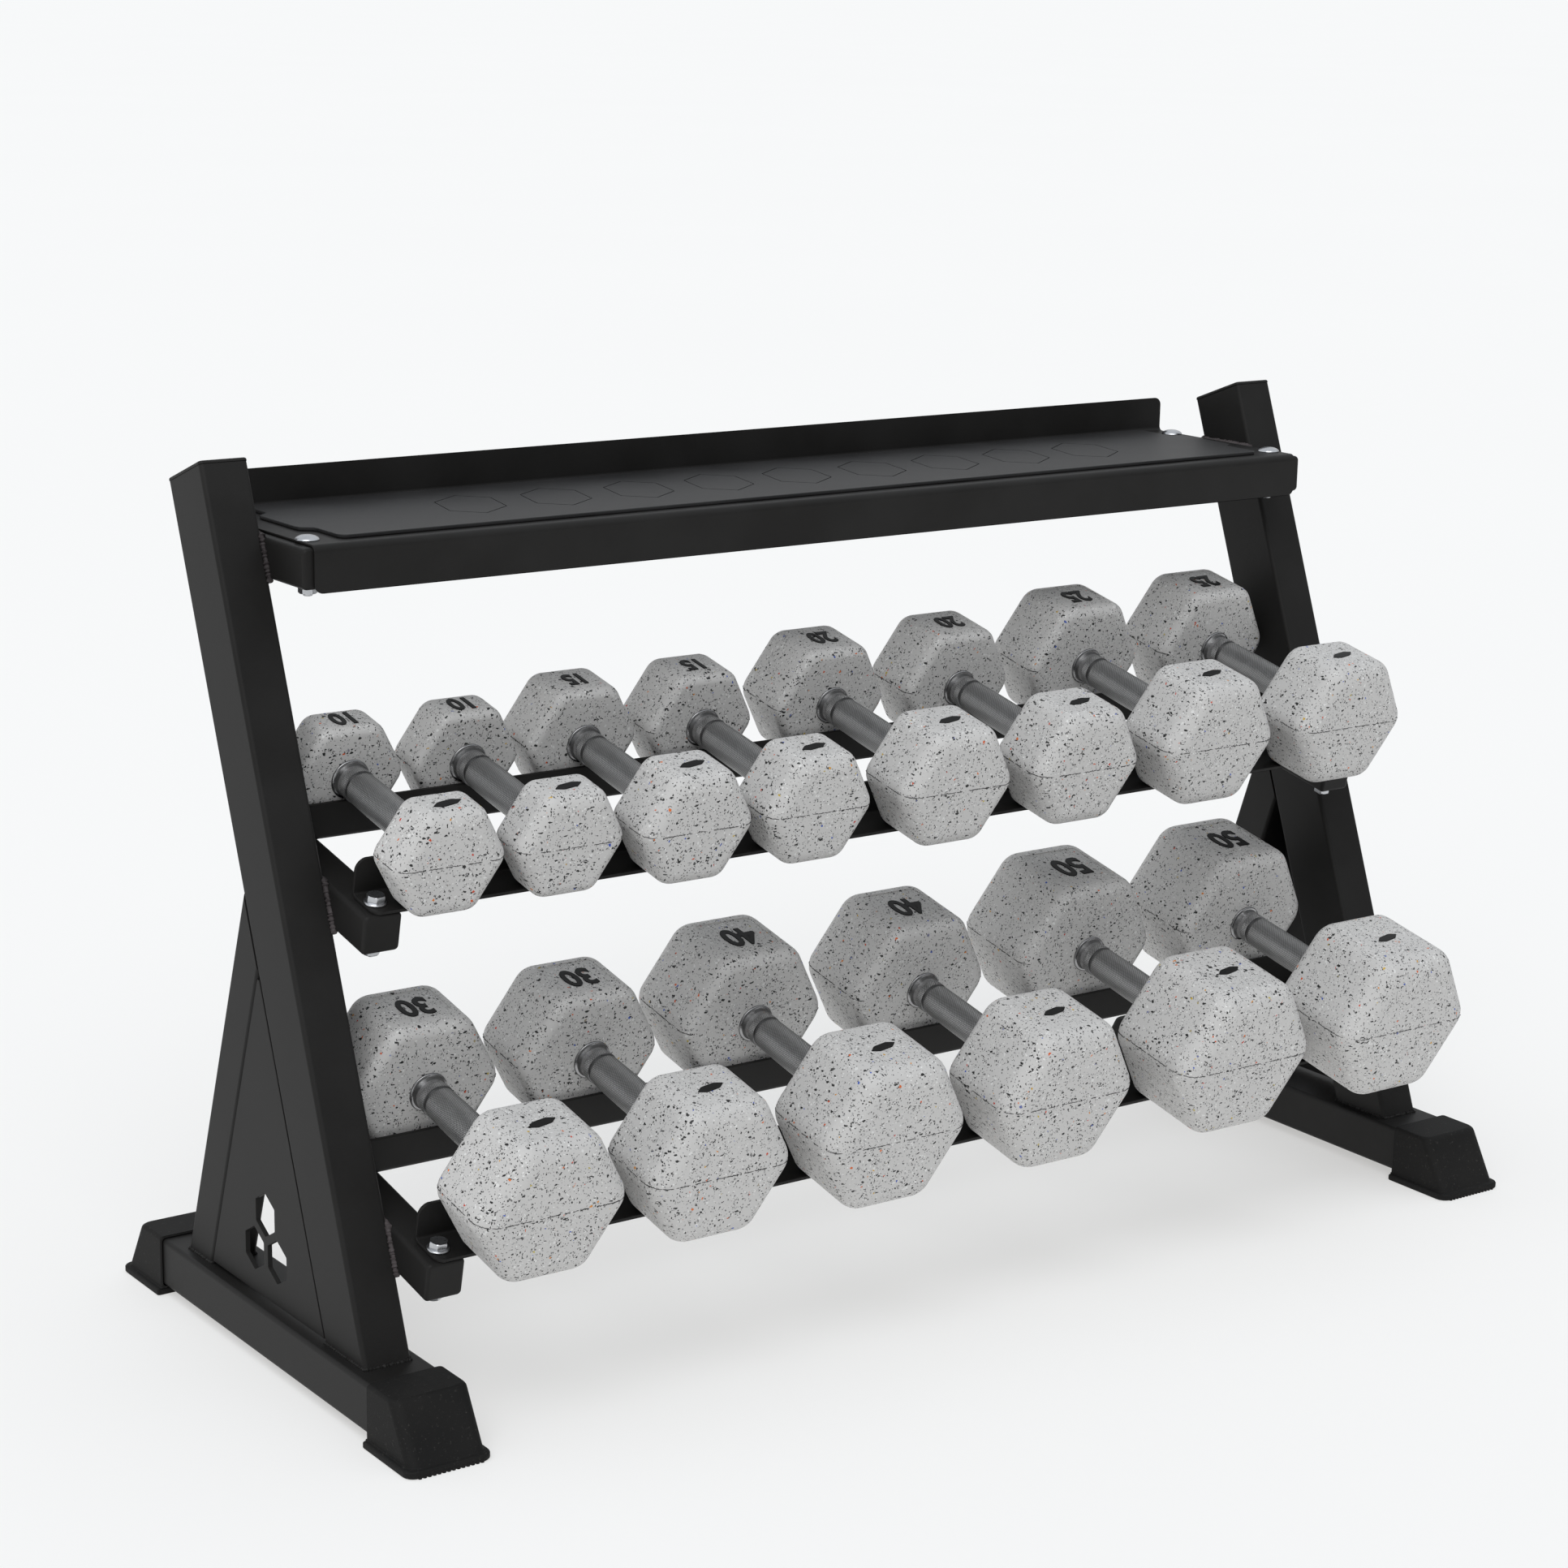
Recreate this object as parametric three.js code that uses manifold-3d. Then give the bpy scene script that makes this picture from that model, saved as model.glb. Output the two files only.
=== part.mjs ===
// Three-level dumbbell rack: two A-shaped side frames, a top tray with a rubber mat,
// two sloping tiers of angle rails and fourteen hexagonal dumbbells resting on them.
// Millimetres, +Z up, +X to the right, -Y to the front. The dimensions are drawn from the
// middle of the side frames; the finished group is moved so that the origin is on the floor
// under the middle of its bounding box.
import * as THREE from 'three';
import { mergeVertices } from 'three/addons/utils/BufferGeometryUtils.js';
import Module from 'manifold-3d';

const wasm = await Module();
wasm.setup();

// ---- driving dimensions -------------------------------------------------

const FIT = 0.3;                    // gap left between touching pieces
const WALL = 2;                     // steel tube wall

const FRAME_WIDTH = 1095;           // outer face to outer face of the uprights
const UPRIGHT_WIDTH = 40;
const UPRIGHT_DEPTH = 60;
const UPRIGHT_LENGTH = 692;         // along the front face, without the cap
const UPRIGHT_LEAN = 20.6;          // degrees from vertical, towards the back
const UPRIGHT_FOOT_Y = -151;        // front face where it meets the base tube
const CAP_THICKNESS = 2.7;

const BASE_WIDTH = 60;
const BASE_HEIGHT = 40;
const BASE_BOTTOM = 8;
const BASE_HALF_LENGTH = 210;

const BRACE_DEPTH = 40;
const BRACE_LEAN = 19;              // degrees from vertical, towards the front
const BRACE_FOOT_Y = 148;           // rear face where it meets the base tube

const GUSSET_THICKNESS = 4;
const GUSSET_INSET = 0.5;           // below the outer faces of the tubes
const GUSSET_SEAM = 0.6;            // gap to the tubes beside it
const GUSSET_BASE_GAP = 3;          // gap to the base tube below it
const CUTOUT_RADIUS = 18;           // three hexagonal cut-outs in a honeycomb
const CUTOUT_RIB = 7;               // plate left between them
const CUTOUT_LOW = 36;              // centres of the lower two above the plate's bottom edge

const FOOT_TIP = 245;               // from the middle of the rack
const FOOT_MOUTH = 175;             // where the base tube enters
const FOOT_TOP_TIP = 217;
const FOOT_WIDTH = 65;
const FOOT_HEIGHT = 50.5;
const FOOT_FLANGE = 3.5;            // overhang of the bottom lip
const FOOT_FLANGE_HEIGHT = 6;

const ARM_SIZE = 32;
const ARM_END_RADIUS = 3;

const TRAY_ARM_Y = 4.6;
const TRAY_ARM_TOP = 640.4;
const TRAY_ARM_LENGTH = 180;

const TRAY_LENGTH = 998;
const TRAY_SHEET = 2;
const TRAY_FRONT_Y = 1.6;
const TRAY_BACK_Y = 190;
const TRAY_APRON = 37;              // height of the front apron
const TRAY_LIP = 31;                // height of the back lip above the pan
const TRAY_BEND = 6;                // outer bend radius
const TRAY_BOLT_Y = [29, 162];

const MAT_THICKNESS = 3;
const MAT_FRONT_Y = 18;
const MAT_BACK_Y = 183;
const MAT_HALF_LENGTH = 479;
const MAT_NOTCH_DEPTH = 11;         // narrowing beside the tray bolts
const MAT_NOTCH_LENGTH = 46;

const TIER_SLOPE = 11.7;            // degrees, down towards the front
const TIER_ARM_LENGTH = 170;
const TIER_HEAD_BACK = 15;          // inner face of the front heads, from the arm's front end
const RAIL_LENGTH = 1000;
const RAIL_LEG = 36;               // flat leg
const RAIL_UPRIGHT = 31.8;         // height of the upright leg
const RAIL_SHEET = 3;
const RAIL_BEND = 5;
const RAIL_CORNER = 8;
const REAR_RAIL_S = 131;            // front face of the rear rail's upright leg
const RAIL_BOLT_INSET = 15;         // bolt axis from the free edge of the flat leg

const BOLT_RADIUS = 4;
const HOLE_RADIUS = 4.8;
const HEX_RADIUS = 7.5;
const HEX_HEIGHT = 5.5;
const FLANGE_RADIUS = 8.8;
const FLANGE_HEIGHT = 1.6;
const NUT_HEIGHT = 6.5;
const SHORT_SHANK = 12;             // bolts that end in a rivet nut inside the arm

const HANDLE_LENGTH = 122;          // between the two heads
const HANDLE_RADIUS = 14;
const HANDLE_COLLAR_RADIUS = 16.5;
const HANDLE_COLLAR = 2.4;          // length of the collar at each head
const HEAD_ROUNDING = 0.3;          // corner radius as a share of half the head's width
const HEAD_INNER_EDGE = 0.16;       // rounding of the end at the handle, as such a share
const HEAD_OUTER_EDGE = 0.26;       // rounding of the free end, as such a share

// name, head width across the rounded points, head length
const WEIGHTS = {
  10: { width: 95.5, length: 42.5 },
  15: { width: 102.5, length: 55 },
  20: { width: 112, length: 63.5 },
  25: { width: 123, length: 67.5 },
  30: { width: 128.5, length: 74 },
  40: { width: 137, length: 84.5 },
  50: { width: 145.5, length: 95 },
};

// front end of each tier's arms (top edge) and the dumbbells from left to right
const TIERS = [
  {
    name: 'upper',
    frontY: -85.4,
    frontZ: 376.4,
    dumbbells: [
      [10, -452], [10, -347], [15, -239], [15, -123.5],
      [20, 8.5], [20, 145.5], [25, 289], [25, 443],
    ],
  },
  {
    name: 'lower',
    frontY: -176.6,
    frontZ: 131.2,
    dumbbells: [[30, -438], [30, -289.5], [40, -131.5], [40, 41.5], [50, 224.5], [50, 409.5]],
  },
];

// ---- sizes derived from them --------------------------------------------

const rad = THREE.MathUtils.degToRad;
const lean = rad(UPRIGHT_LEAN);
const braceLean = rad(BRACE_LEAN);
const slope = rad(TIER_SLOPE);
const baseTop = BASE_BOTTOM + BASE_HEIGHT;
const frameX = FRAME_WIDTH / 2 - UPRIGHT_WIDTH / 2;
const armX = FRAME_WIDTH / 2 - UPRIGHT_WIDTH - FIT - ARM_SIZE / 2;
const uprightBackY = UPRIGHT_FOOT_Y + UPRIGHT_DEPTH / Math.cos(lean);
const braceFrontY = BRACE_FOOT_Y - BRACE_DEPTH / Math.cos(braceLean);
const panBottom = TRAY_ARM_TOP + FIT;
const panTop = panBottom + TRAY_SHEET;
const railTop = FIT + RAIL_SHEET;
const rearBoltS = REAR_RAIL_S + RAIL_LEG - RAIL_BOLT_INSET;
const rearHeadS = TIER_HEAD_BACK + HANDLE_LENGTH;

// ---- materials ----------------------------------------------------------

function finish(color, roughness, metalness) {
  return () => new THREE.MeshStandardMaterial({ color, roughness, metalness });
}

const blackCoat = finish(0x1e1d1d, 0.55, 0.1);
const blackRubber = finish(0x191919, 0.85, 0);
const matRubber = finish(0x262626, 0.75, 0);
const zinc = finish(0xb9bcbf, 0.3, 0.9);
const dumbbellCover = finish(0xb9bab8, 0.6, 0);

// ---- solid helpers ------------------------------------------------------

function toManifold(geometry) {
  const bare = geometry.clone();
  bare.deleteAttribute('normal');
  bare.deleteAttribute('uv');
  const merged = mergeVertices(bare, 1e-4);
  return new wasm.Manifold(new wasm.Mesh({
    numProp: 3,
    vertProperties: new Float32Array(merged.attributes.position.array),
    triVerts: new Uint32Array(merged.index.array),
  }));
}

function toGeometry(solid) {
  const mesh = solid.getMesh();
  const geometry = new THREE.BufferGeometry();
  geometry.setAttribute('position', new THREE.BufferAttribute(new Float32Array(mesh.vertProperties), 3));
  geometry.setIndex(new THREE.BufferAttribute(new Uint32Array(mesh.triVerts), 1));
  geometry.computeVertexNormals();
  return geometry;
}

function union(...geometries) {
  const solids = geometries.map(toManifold);
  return toGeometry(solids.slice(1).reduce((sum, solid) => sum.add(solid), solids[0]));
}

function cut(geometry, ...cutters) {
  const solids = cutters.map(toManifold);
  return toGeometry(solids.reduce((rest, solid) => rest.subtract(solid), toManifold(geometry)));
}

function common(first, second) {
  return toGeometry(toManifold(first).intersect(toManifold(second)));
}

function box(x0, x1, y0, y1, z0, z1) {
  return new THREE.BoxGeometry(x1 - x0, y1 - y0, z1 - z0)
    .translate((x0 + x1) / 2, (y0 + y1) / 2, (z0 + z1) / 2);
}

function roundedRect(width, height, radius, target = new THREE.Shape()) {
  const w = width / 2 - radius;
  const h = height / 2 - radius;
  target.absarc(w, -h, radius, -Math.PI / 2, 0, false);
  target.absarc(w, h, radius, 0, Math.PI / 2, false);
  target.absarc(-w, h, radius, Math.PI / 2, Math.PI, false);
  target.absarc(-w, -h, radius, Math.PI, 1.5 * Math.PI, false);
  target.closePath();
  return target;
}

// straight prism of a shape along +Z
function prism(shape, length, curveSegments = 2) {
  return new THREE.ExtrudeGeometry(shape, { depth: length, bevelEnabled: false, curveSegments });
}

// a profile drawn in (Y, Z), extruded along X and centred on x = 0
function alongX(shape, length, curveSegments = 2) {
  return prism(shape, length, curveSegments)
    .translate(0, 0, -length / 2)
    .applyMatrix4(new THREE.Matrix4().makeBasis(
      new THREE.Vector3(0, 1, 0),
      new THREE.Vector3(0, 0, 1),
      new THREE.Vector3(1, 0, 0),
    ));
}

// upright round bar between two heights
function bar(x, y, z0, z1, radius, sides = 8) {
  return new THREE.CylinderGeometry(radius, radius, z1 - z0, sides)
    .rotateX(Math.PI / 2)
    .translate(x, y, (z0 + z1) / 2);
}

// open rectangular tube along +Z, outer size width by depth, centred on the axis
function tube(width, depth, length) {
  const outline = roundedRect(width, depth, 5);
  outline.holes.push(roundedRect(width - 2 * WALL, depth - 2 * WALL, 3, new THREE.Path()));
  return prism(outline, length);
}

// a bent sheet profile: a row of (Y, Z) centre points swept to a constant thickness,
// with the corners rounded to the given outer radius
function sheetProfile(points, thickness, outerRadius) {
  const left = [];
  const right = [];
  const half = thickness / 2;
  for (let i = 0; i < points.length; i += 1) {
    const here = new THREE.Vector2(...points[i]);
    const before = new THREE.Vector2(...points[Math.max(i - 1, 0)]);
    const after = new THREE.Vector2(...points[Math.min(i + 1, points.length - 1)]);
    const d0 = here.clone().sub(before).normalize();
    const d1 = after.clone().sub(here).normalize();
    if (i === 0 || i === points.length - 1) {
      const d = i === 0 ? d1 : d0;
      left.push([here.x - d.y * half, here.y + d.x * half]);
      right.push([here.x + d.y * half, here.y - d.x * half]);
      continue;
    }
    const turn = Math.sign(d0.x * d1.y - d0.y * d1.x);
    const mid = outerRadius - half;
    const inwards = new THREE.Vector2(-d0.y, d0.x).multiplyScalar(turn * mid);
    const centre = here.clone().addScaledVector(d0, -mid).add(inwards);
    const from = Math.atan2(-turn * d0.x, turn * d0.y);
    for (let k = 0; k <= 3; k += 1) {
      const a = from + turn * (k / 3) * (Math.PI / 2);
      const c = Math.cos(a);
      const s = Math.sin(a);
      left.push([centre.x + c * (mid - turn * half), centre.y + s * (mid - turn * half)]);
      right.push([centre.x + c * (mid + turn * half), centre.y + s * (mid + turn * half)]);
    }
  }
  const outline = [...left, ...right.reverse()];
  return new THREE.Shape(outline.map(([y, z]) => new THREE.Vector2(y, z)));
}

// a closed body through rings of equal length, ordered along +Y
function loft(rings) {
  const count = rings[0].length;
  const positions = rings.flat().flatMap((p) => [p.x, p.y, p.z]);
  const index = [];
  for (let r = 0; r + 1 < rings.length; r += 1) {
    for (let i = 0; i < count; i += 1) {
      const a = r * count + i;
      const b = r * count + ((i + 1) % count);
      index.push(a, a + count, b, b, a + count, b + count);
    }
  }
  const last = (rings.length - 1) * count;
  for (let i = 1; i + 1 < count; i += 1) {
    index.push(0, i, i + 1);
    index.push(last, last + i + 1, last + i);
  }
  const geometry = new THREE.BufferGeometry();
  geometry.setAttribute('position', new THREE.BufferAttribute(new Float32Array(positions), 3));
  geometry.setIndex(index);
  geometry.computeVertexNormals();
  return geometry;
}

// ---- the assembly -------------------------------------------------------

const group = new THREE.Group();
group.name = 'dumbbell_rack';

function add(name, geometry, material, parent = group) {
  const mesh = new THREE.Mesh(geometry, material());
  mesh.name = name;
  parent.add(mesh);
  return mesh;
}

// ---- side frames --------------------------------------------------------

function makeBaseTube() {
  return tube(BASE_WIDTH, BASE_HEIGHT, 2 * BASE_HALF_LENGTH)
    .rotateX(Math.PI / 2)
    .translate(0, BASE_HALF_LENGTH, BASE_BOTTOM + BASE_HEIGHT / 2);
}

// the upright's own frame: its front face passes through the foot line and leans back
function placeOnUpright(geometry) {
  return geometry
    .translate(0, UPRIGHT_DEPTH / 2, 0)
    .rotateX(-lean)
    .translate(0, UPRIGHT_FOOT_Y, baseTop);
}

function makeUpright() {
  const start = -UPRIGHT_DEPTH;
  const length = UPRIGHT_LENGTH - start;
  const whole = placeOnUpright(tube(UPRIGHT_WIDTH, UPRIGHT_DEPTH, length).translate(0, 0, start));
  return cut(whole, box(-50, 50, -400, 400, -200, baseTop + FIT));
}

function makeCap() {
  const plate = prism(roundedRect(UPRIGHT_WIDTH, UPRIGHT_DEPTH, 5), CAP_THICKNESS)
    .translate(0, 0, UPRIGHT_LENGTH + FIT);
  const margin = 2 * (WALL + FIT);
  const plug = prism(roundedRect(UPRIGHT_WIDTH - margin, UPRIGHT_DEPTH - margin, 3), 13)
    .translate(0, 0, UPRIGHT_LENGTH - 12);
  return placeOnUpright(union(plate, plug));
}

function makeBrace() {
  const whole = tube(UPRIGHT_WIDTH, BRACE_DEPTH, 560)
    .translate(0, -BRACE_DEPTH / 2, -80)
    .rotateX(braceLean)
    .translate(0, BRACE_FOOT_Y, baseTop);
  const floorSide = box(-50, 50, -400, 400, -200, baseTop + FIT);
  const uprightSide = box(-50, 50, -500, UPRIGHT_DEPTH + FIT, -300, 1200)
    .rotateX(-lean)
    .translate(0, UPRIGHT_FOOT_Y, baseTop);
  return cut(whole, floorSide, uprightSide);
}

function hexagonHole(y, z, radius) {
  const hole = new THREE.Path();
  for (let i = 0; i < 6; i += 1) {
    const a = -rad(60 * i + 30);
    const point = [y + radius * Math.cos(a), z + radius * Math.sin(a)];
    if (i === 0) {
      hole.moveTo(...point);
    } else {
      hole.lineTo(...point);
    }
  }
  hole.closePath();
  return hole;
}

// triangle between the upright, the brace and the base tube, with generic cut-outs
function makeGusset(side) {
  const z0 = baseTop + GUSSET_BASE_GAP;
  const seamUpright = GUSSET_SEAM / Math.cos(lean);
  const seamBrace = GUSSET_SEAM / Math.cos(braceLean);
  const frontAt = (z) => uprightBackY + seamUpright + Math.tan(lean) * (z - baseTop);
  const rearAt = (z) => braceFrontY - seamBrace - Math.tan(braceLean) * (z - baseTop);
  const apex = baseTop
    + (braceFrontY - seamBrace - uprightBackY - seamUpright) / (Math.tan(lean) + Math.tan(braceLean));
  const z1 = apex - 5;
  const shape = new THREE.Shape([
    new THREE.Vector2(frontAt(z0), z0),
    new THREE.Vector2(rearAt(z0), z0),
    new THREE.Vector2(rearAt(z1), z1),
    new THREE.Vector2(frontAt(z1), z1),
  ]);
  const middle = (frontAt(z0 + CUTOUT_LOW) + rearAt(z0 + CUTOUT_LOW)) / 2;
  const pitch = Math.sqrt(3) * CUTOUT_RADIUS + CUTOUT_RIB;
  const low = z0 + CUTOUT_LOW;
  shape.holes.push(hexagonHole(middle - pitch / 2, low, CUTOUT_RADIUS));
  shape.holes.push(hexagonHole(middle + pitch / 2, low, CUTOUT_RADIUS));
  shape.holes.push(hexagonHole(middle, low + pitch * Math.sin(Math.PI / 3), CUTOUT_RADIUS));
  const x = UPRIGHT_WIDTH / 2 - GUSSET_INSET - GUSSET_THICKNESS / 2;
  return alongX(shape, GUSSET_THICKNESS).translate(side * x, 0, 0);
}

// rubber boot over the end of the base tube; drawn for the front end
function makeFoot() {
  const profile = new THREE.Shape([
    new THREE.Vector2(-FOOT_MOUTH, 0),
    new THREE.Vector2(-FOOT_MOUTH, FOOT_HEIGHT),
    new THREE.Vector2(-FOOT_TOP_TIP + 4, FOOT_HEIGHT),
    new THREE.Vector2(-FOOT_TOP_TIP, FOOT_HEIGHT - 2),
    new THREE.Vector2(-FOOT_TIP + FOOT_FLANGE, FOOT_FLANGE_HEIGHT),
    new THREE.Vector2(-FOOT_TIP + FOOT_FLANGE, 0),
  ]);
  const length = FOOT_TIP - FOOT_MOUTH;
  const plan = prism(roundedRect(FOOT_WIDTH, length + 30, 9), FOOT_HEIGHT + 4)
    .translate(0, -FOOT_MOUTH - length / 2 + 15 + FOOT_FLANGE, -2);
  const body = common(alongX(profile, FOOT_WIDTH), plan);
  const flange = prism(roundedRect(FOOT_WIDTH + 2 * FOOT_FLANGE, length, 8), FOOT_FLANGE_HEIGHT)
    .translate(0, -FOOT_MOUTH - length / 2, 0);
  const pocket = prism(roundedRect(BASE_WIDTH + 2 * FIT, BASE_HEIGHT + 2 * FIT, 5), 300)
    .rotateX(Math.PI / 2)
    .translate(0, 300 - BASE_HALF_LENGTH - FIT, BASE_BOTTOM + BASE_HEIGHT / 2);
  return cut(union(body, flange), pocket);
}

// closed square arm from y = 0 back to y = length, top face at z = 0
function makeArm(length, throughHoles, topHoles) {
  const r = ARM_END_RADIUS;
  const outer = new THREE.ExtrudeGeometry(roundedRect(ARM_SIZE, ARM_SIZE, 4), {
    depth: length - 2 * r,
    bevelEnabled: true,
    bevelThickness: r,
    bevelSize: r,
    bevelOffset: -r,
    bevelSegments: 1,
    curveSegments: 2,
  }).rotateX(Math.PI / 2).translate(0, length - r, -ARM_SIZE / 2);
  const inside = ARM_SIZE / 2 - WALL;
  const cavity = box(-inside, inside, r + 1, length - r - 1, -ARM_SIZE / 2 - inside, -ARM_SIZE / 2 + inside);
  const holes = [
    ...throughHoles.map((y) => bar(0, y, -ARM_SIZE - 1, 1, HOLE_RADIUS)),
    ...topHoles.map((y) => bar(0, y, -ARM_SIZE / 2, 1, HOLE_RADIUS)),
  ];
  return cut(outer, cavity, ...holes);
}

function placeOnTier(mesh, tier, x, s, h) {
  mesh.position.set(
    x,
    tier.frontY + Math.cos(slope) * s - Math.sin(slope) * h,
    tier.frontZ + Math.sin(slope) * s + Math.cos(slope) * h,
  );
  mesh.rotation.x = slope;
}

for (const side of [-1, 1]) {
  const name = side < 0 ? 'left' : 'right';
  const frame = new THREE.Group();
  frame.name = `${name}_side_frame`;
  frame.position.x = side * frameX;
  group.add(frame);
  add(`${name}_base_tube`, makeBaseTube(), blackCoat, frame);
  add(`${name}_upright`, makeUpright(), blackCoat, frame);
  add(`${name}_upright_cap`, makeCap(), blackCoat, frame);
  add(`${name}_rear_brace`, makeBrace(), blackCoat, frame);
  add(`${name}_gusset_plate`, makeGusset(side), blackCoat, frame);
  add(`${name}_front_foot`, makeFoot(), blackRubber, frame);
  add(`${name}_rear_foot`, makeFoot().rotateZ(Math.PI), blackRubber, frame);

  const throughFront = [TRAY_BOLT_Y[0] - TRAY_ARM_Y];
  const topRear = [TRAY_BOLT_Y[1] - TRAY_ARM_Y];
  add(`${name}_tray_arm`, makeArm(TRAY_ARM_LENGTH, throughFront, topRear), blackCoat)
    .position.set(side * armX, TRAY_ARM_Y, TRAY_ARM_TOP);
  for (const tier of TIERS) {
    const arm = makeArm(TIER_ARM_LENGTH, [RAIL_BOLT_INSET], [rearBoltS]);
    placeOnTier(add(`${name}_${tier.name}_arm`, arm, blackCoat), tier, side * armX, 0, 0);
  }
}

// ---- fasteners ----------------------------------------------------------

// hexagonal flange bolt, underside of the flange at z = 0, shank down
function makeHexBolt(shank) {
  const flange = bar(0, 0, 0, FLANGE_HEIGHT, FLANGE_RADIUS, 12);
  const hexagon = bar(0, 0, FLANGE_HEIGHT / 2, FLANGE_HEIGHT + HEX_HEIGHT, HEX_RADIUS, 6);
  return union(flange, hexagon, bar(0, 0, -shank, FLANGE_HEIGHT / 2, BOLT_RADIUS));
}

// low round-headed bolt for the tray
function makeButtonBolt(shank) {
  const dome = new THREE.LatheGeometry([
    new THREE.Vector2(0, -1),
    new THREE.Vector2(BOLT_RADIUS, -1),
    new THREE.Vector2(BOLT_RADIUS, 0),
    new THREE.Vector2(9.5, 0),
    new THREE.Vector2(8.6, 1.8),
    new THREE.Vector2(5.2, 3.4),
    new THREE.Vector2(0, 3.9),
  ], 12).rotateX(Math.PI / 2);
  return union(dome, bar(0, 0, -shank, -0.5, BOLT_RADIUS));
}

// hexagonal nut hanging below z = 0
function makeNut() {
  return cut(bar(0, 0, -NUT_HEIGHT, 0, HEX_RADIUS, 6), bar(0, 0, -NUT_HEIGHT - 1, 1, HOLE_RADIUS));
}

const railShank = railTop + FIT + ARM_SIZE + FIT + NUT_HEIGHT + 1.5;
const trayShank = TRAY_SHEET + 2 * FIT + ARM_SIZE + FIT + NUT_HEIGHT + 1.5;

for (const side of [-1, 1]) {
  const name = side < 0 ? 'left' : 'right';
  for (const tier of TIERS) {
    const frontBolt = add(`${tier.name}_front_bolt_${name}`, makeHexBolt(railShank), zinc);
    const rearBolt = add(`${tier.name}_rear_bolt_${name}`, makeHexBolt(SHORT_SHANK), zinc);
    const nut = add(`${tier.name}_front_nut_${name}`, makeNut(), zinc);
    placeOnTier(frontBolt, tier, side * armX, RAIL_BOLT_INSET, railTop + FIT);
    placeOnTier(rearBolt, tier, side * armX, rearBoltS, railTop + FIT);
    placeOnTier(nut, tier, side * armX, RAIL_BOLT_INSET, -ARM_SIZE - FIT);
  }
  add(`tray_front_bolt_${name}`, makeButtonBolt(trayShank), zinc)
    .position.set(side * armX, TRAY_BOLT_Y[0], panTop + FIT);
  add(`tray_rear_bolt_${name}`, makeButtonBolt(SHORT_SHANK), zinc)
    .position.set(side * armX, TRAY_BOLT_Y[1], panTop + FIT);
  add(`tray_front_nut_${name}`, makeNut(), zinc)
    .position.set(side * armX, TRAY_BOLT_Y[0], TRAY_ARM_TOP - ARM_SIZE - FIT);
}

// ---- tray and mat -------------------------------------------------------

function makeTray() {
  const half = TRAY_SHEET / 2;
  const front = TRAY_FRONT_Y + half;
  const back = TRAY_BACK_Y - half;
  const pan = panTop - half;
  const profile = sheetProfile([
    [front, panTop - TRAY_APRON],
    [front, pan],
    [back, pan],
    [back, panTop + TRAY_LIP],
  ], TRAY_SHEET, TRAY_BEND);
  const middle = (2 * panTop + TRAY_LIP - TRAY_APRON) / 2;
  const rounded = prism(roundedRect(TRAY_LENGTH, TRAY_LIP + TRAY_APRON, 7), 300)
    .rotateX(Math.PI / 2)
    .translate(0, 250, middle);
  const sheet = common(alongX(profile, TRAY_LENGTH), rounded);
  const holes = [-1, 1].flatMap((side) => TRAY_BOLT_Y.map(
    (y) => bar(side * armX, y, panBottom - 2, panTop + 2, HOLE_RADIUS),
  ));
  return cut(sheet, ...holes);
}

// rubber mat, narrowed at the four corners beside the tray bolts
function makeMat() {
  const x = MAT_HALF_LENGTH;
  const inner = x - MAT_NOTCH_DEPTH;
  const y0 = MAT_FRONT_Y;
  const y1 = MAT_BACK_Y;
  const n = MAT_NOTCH_LENGTH;
  const corner = [
    [inner - 8, y0],
    [inner - 2, y0 + 2],
    [inner, y0 + 8],
    [inner, y0 + n - 8],
    [x, y0 + n + 6],
  ];
  const mirrorY = ([px, py]) => [px, y0 + y1 - py];
  const mirrorX = ([px, py]) => [-px, py];
  const right = [...corner, ...corner.map(mirrorY).reverse()];
  const outline = [...right, ...right.map(mirrorX).reverse()];
  return prism(new THREE.Shape(outline.map((p) => new THREE.Vector2(...p))), MAT_THICKNESS);
}

add('top_tray', makeTray(), blackCoat);
add('tray_mat', makeMat(), matRubber).position.z = panTop + FIT;

// ---- rails --------------------------------------------------------------

// angle rail: flat leg from y = 0, upright leg at its far side; bottom at z = 0
function makeRail() {
  const half = RAIL_SHEET / 2;
  const profile = sheetProfile([
    [0, half],
    [RAIL_LEG - half, half],
    [RAIL_LEG - half, RAIL_UPRIGHT],
  ], RAIL_SHEET, RAIL_BEND);
  const front = prism(roundedRect(RAIL_LENGTH, 2 * RAIL_UPRIGHT, RAIL_CORNER), 100)
    .rotateX(Math.PI / 2)
    .translate(0, 80, 0);
  const rail = common(alongX(profile, RAIL_LENGTH), front);
  const holes = [-1, 1].map((side) => bar(side * armX, RAIL_BOLT_INSET, -2, RAIL_SHEET + 2, HOLE_RADIUS));
  return cut(rail, ...holes);
}

for (const tier of TIERS) {
  const frontRail = add(`${tier.name}_front_rail`, makeRail(), blackCoat);
  placeOnTier(frontRail, tier, 0, 0, FIT);
  const turned = makeRail().rotateZ(Math.PI).translate(0, RAIL_LEG, 0);
  const rearRail = add(`${tier.name}_rear_rail`, turned, blackCoat);
  placeOnTier(rearRail, tier, 0, REAR_RAIL_S, FIT);
}

// ---- dumbbells ----------------------------------------------------------

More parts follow.
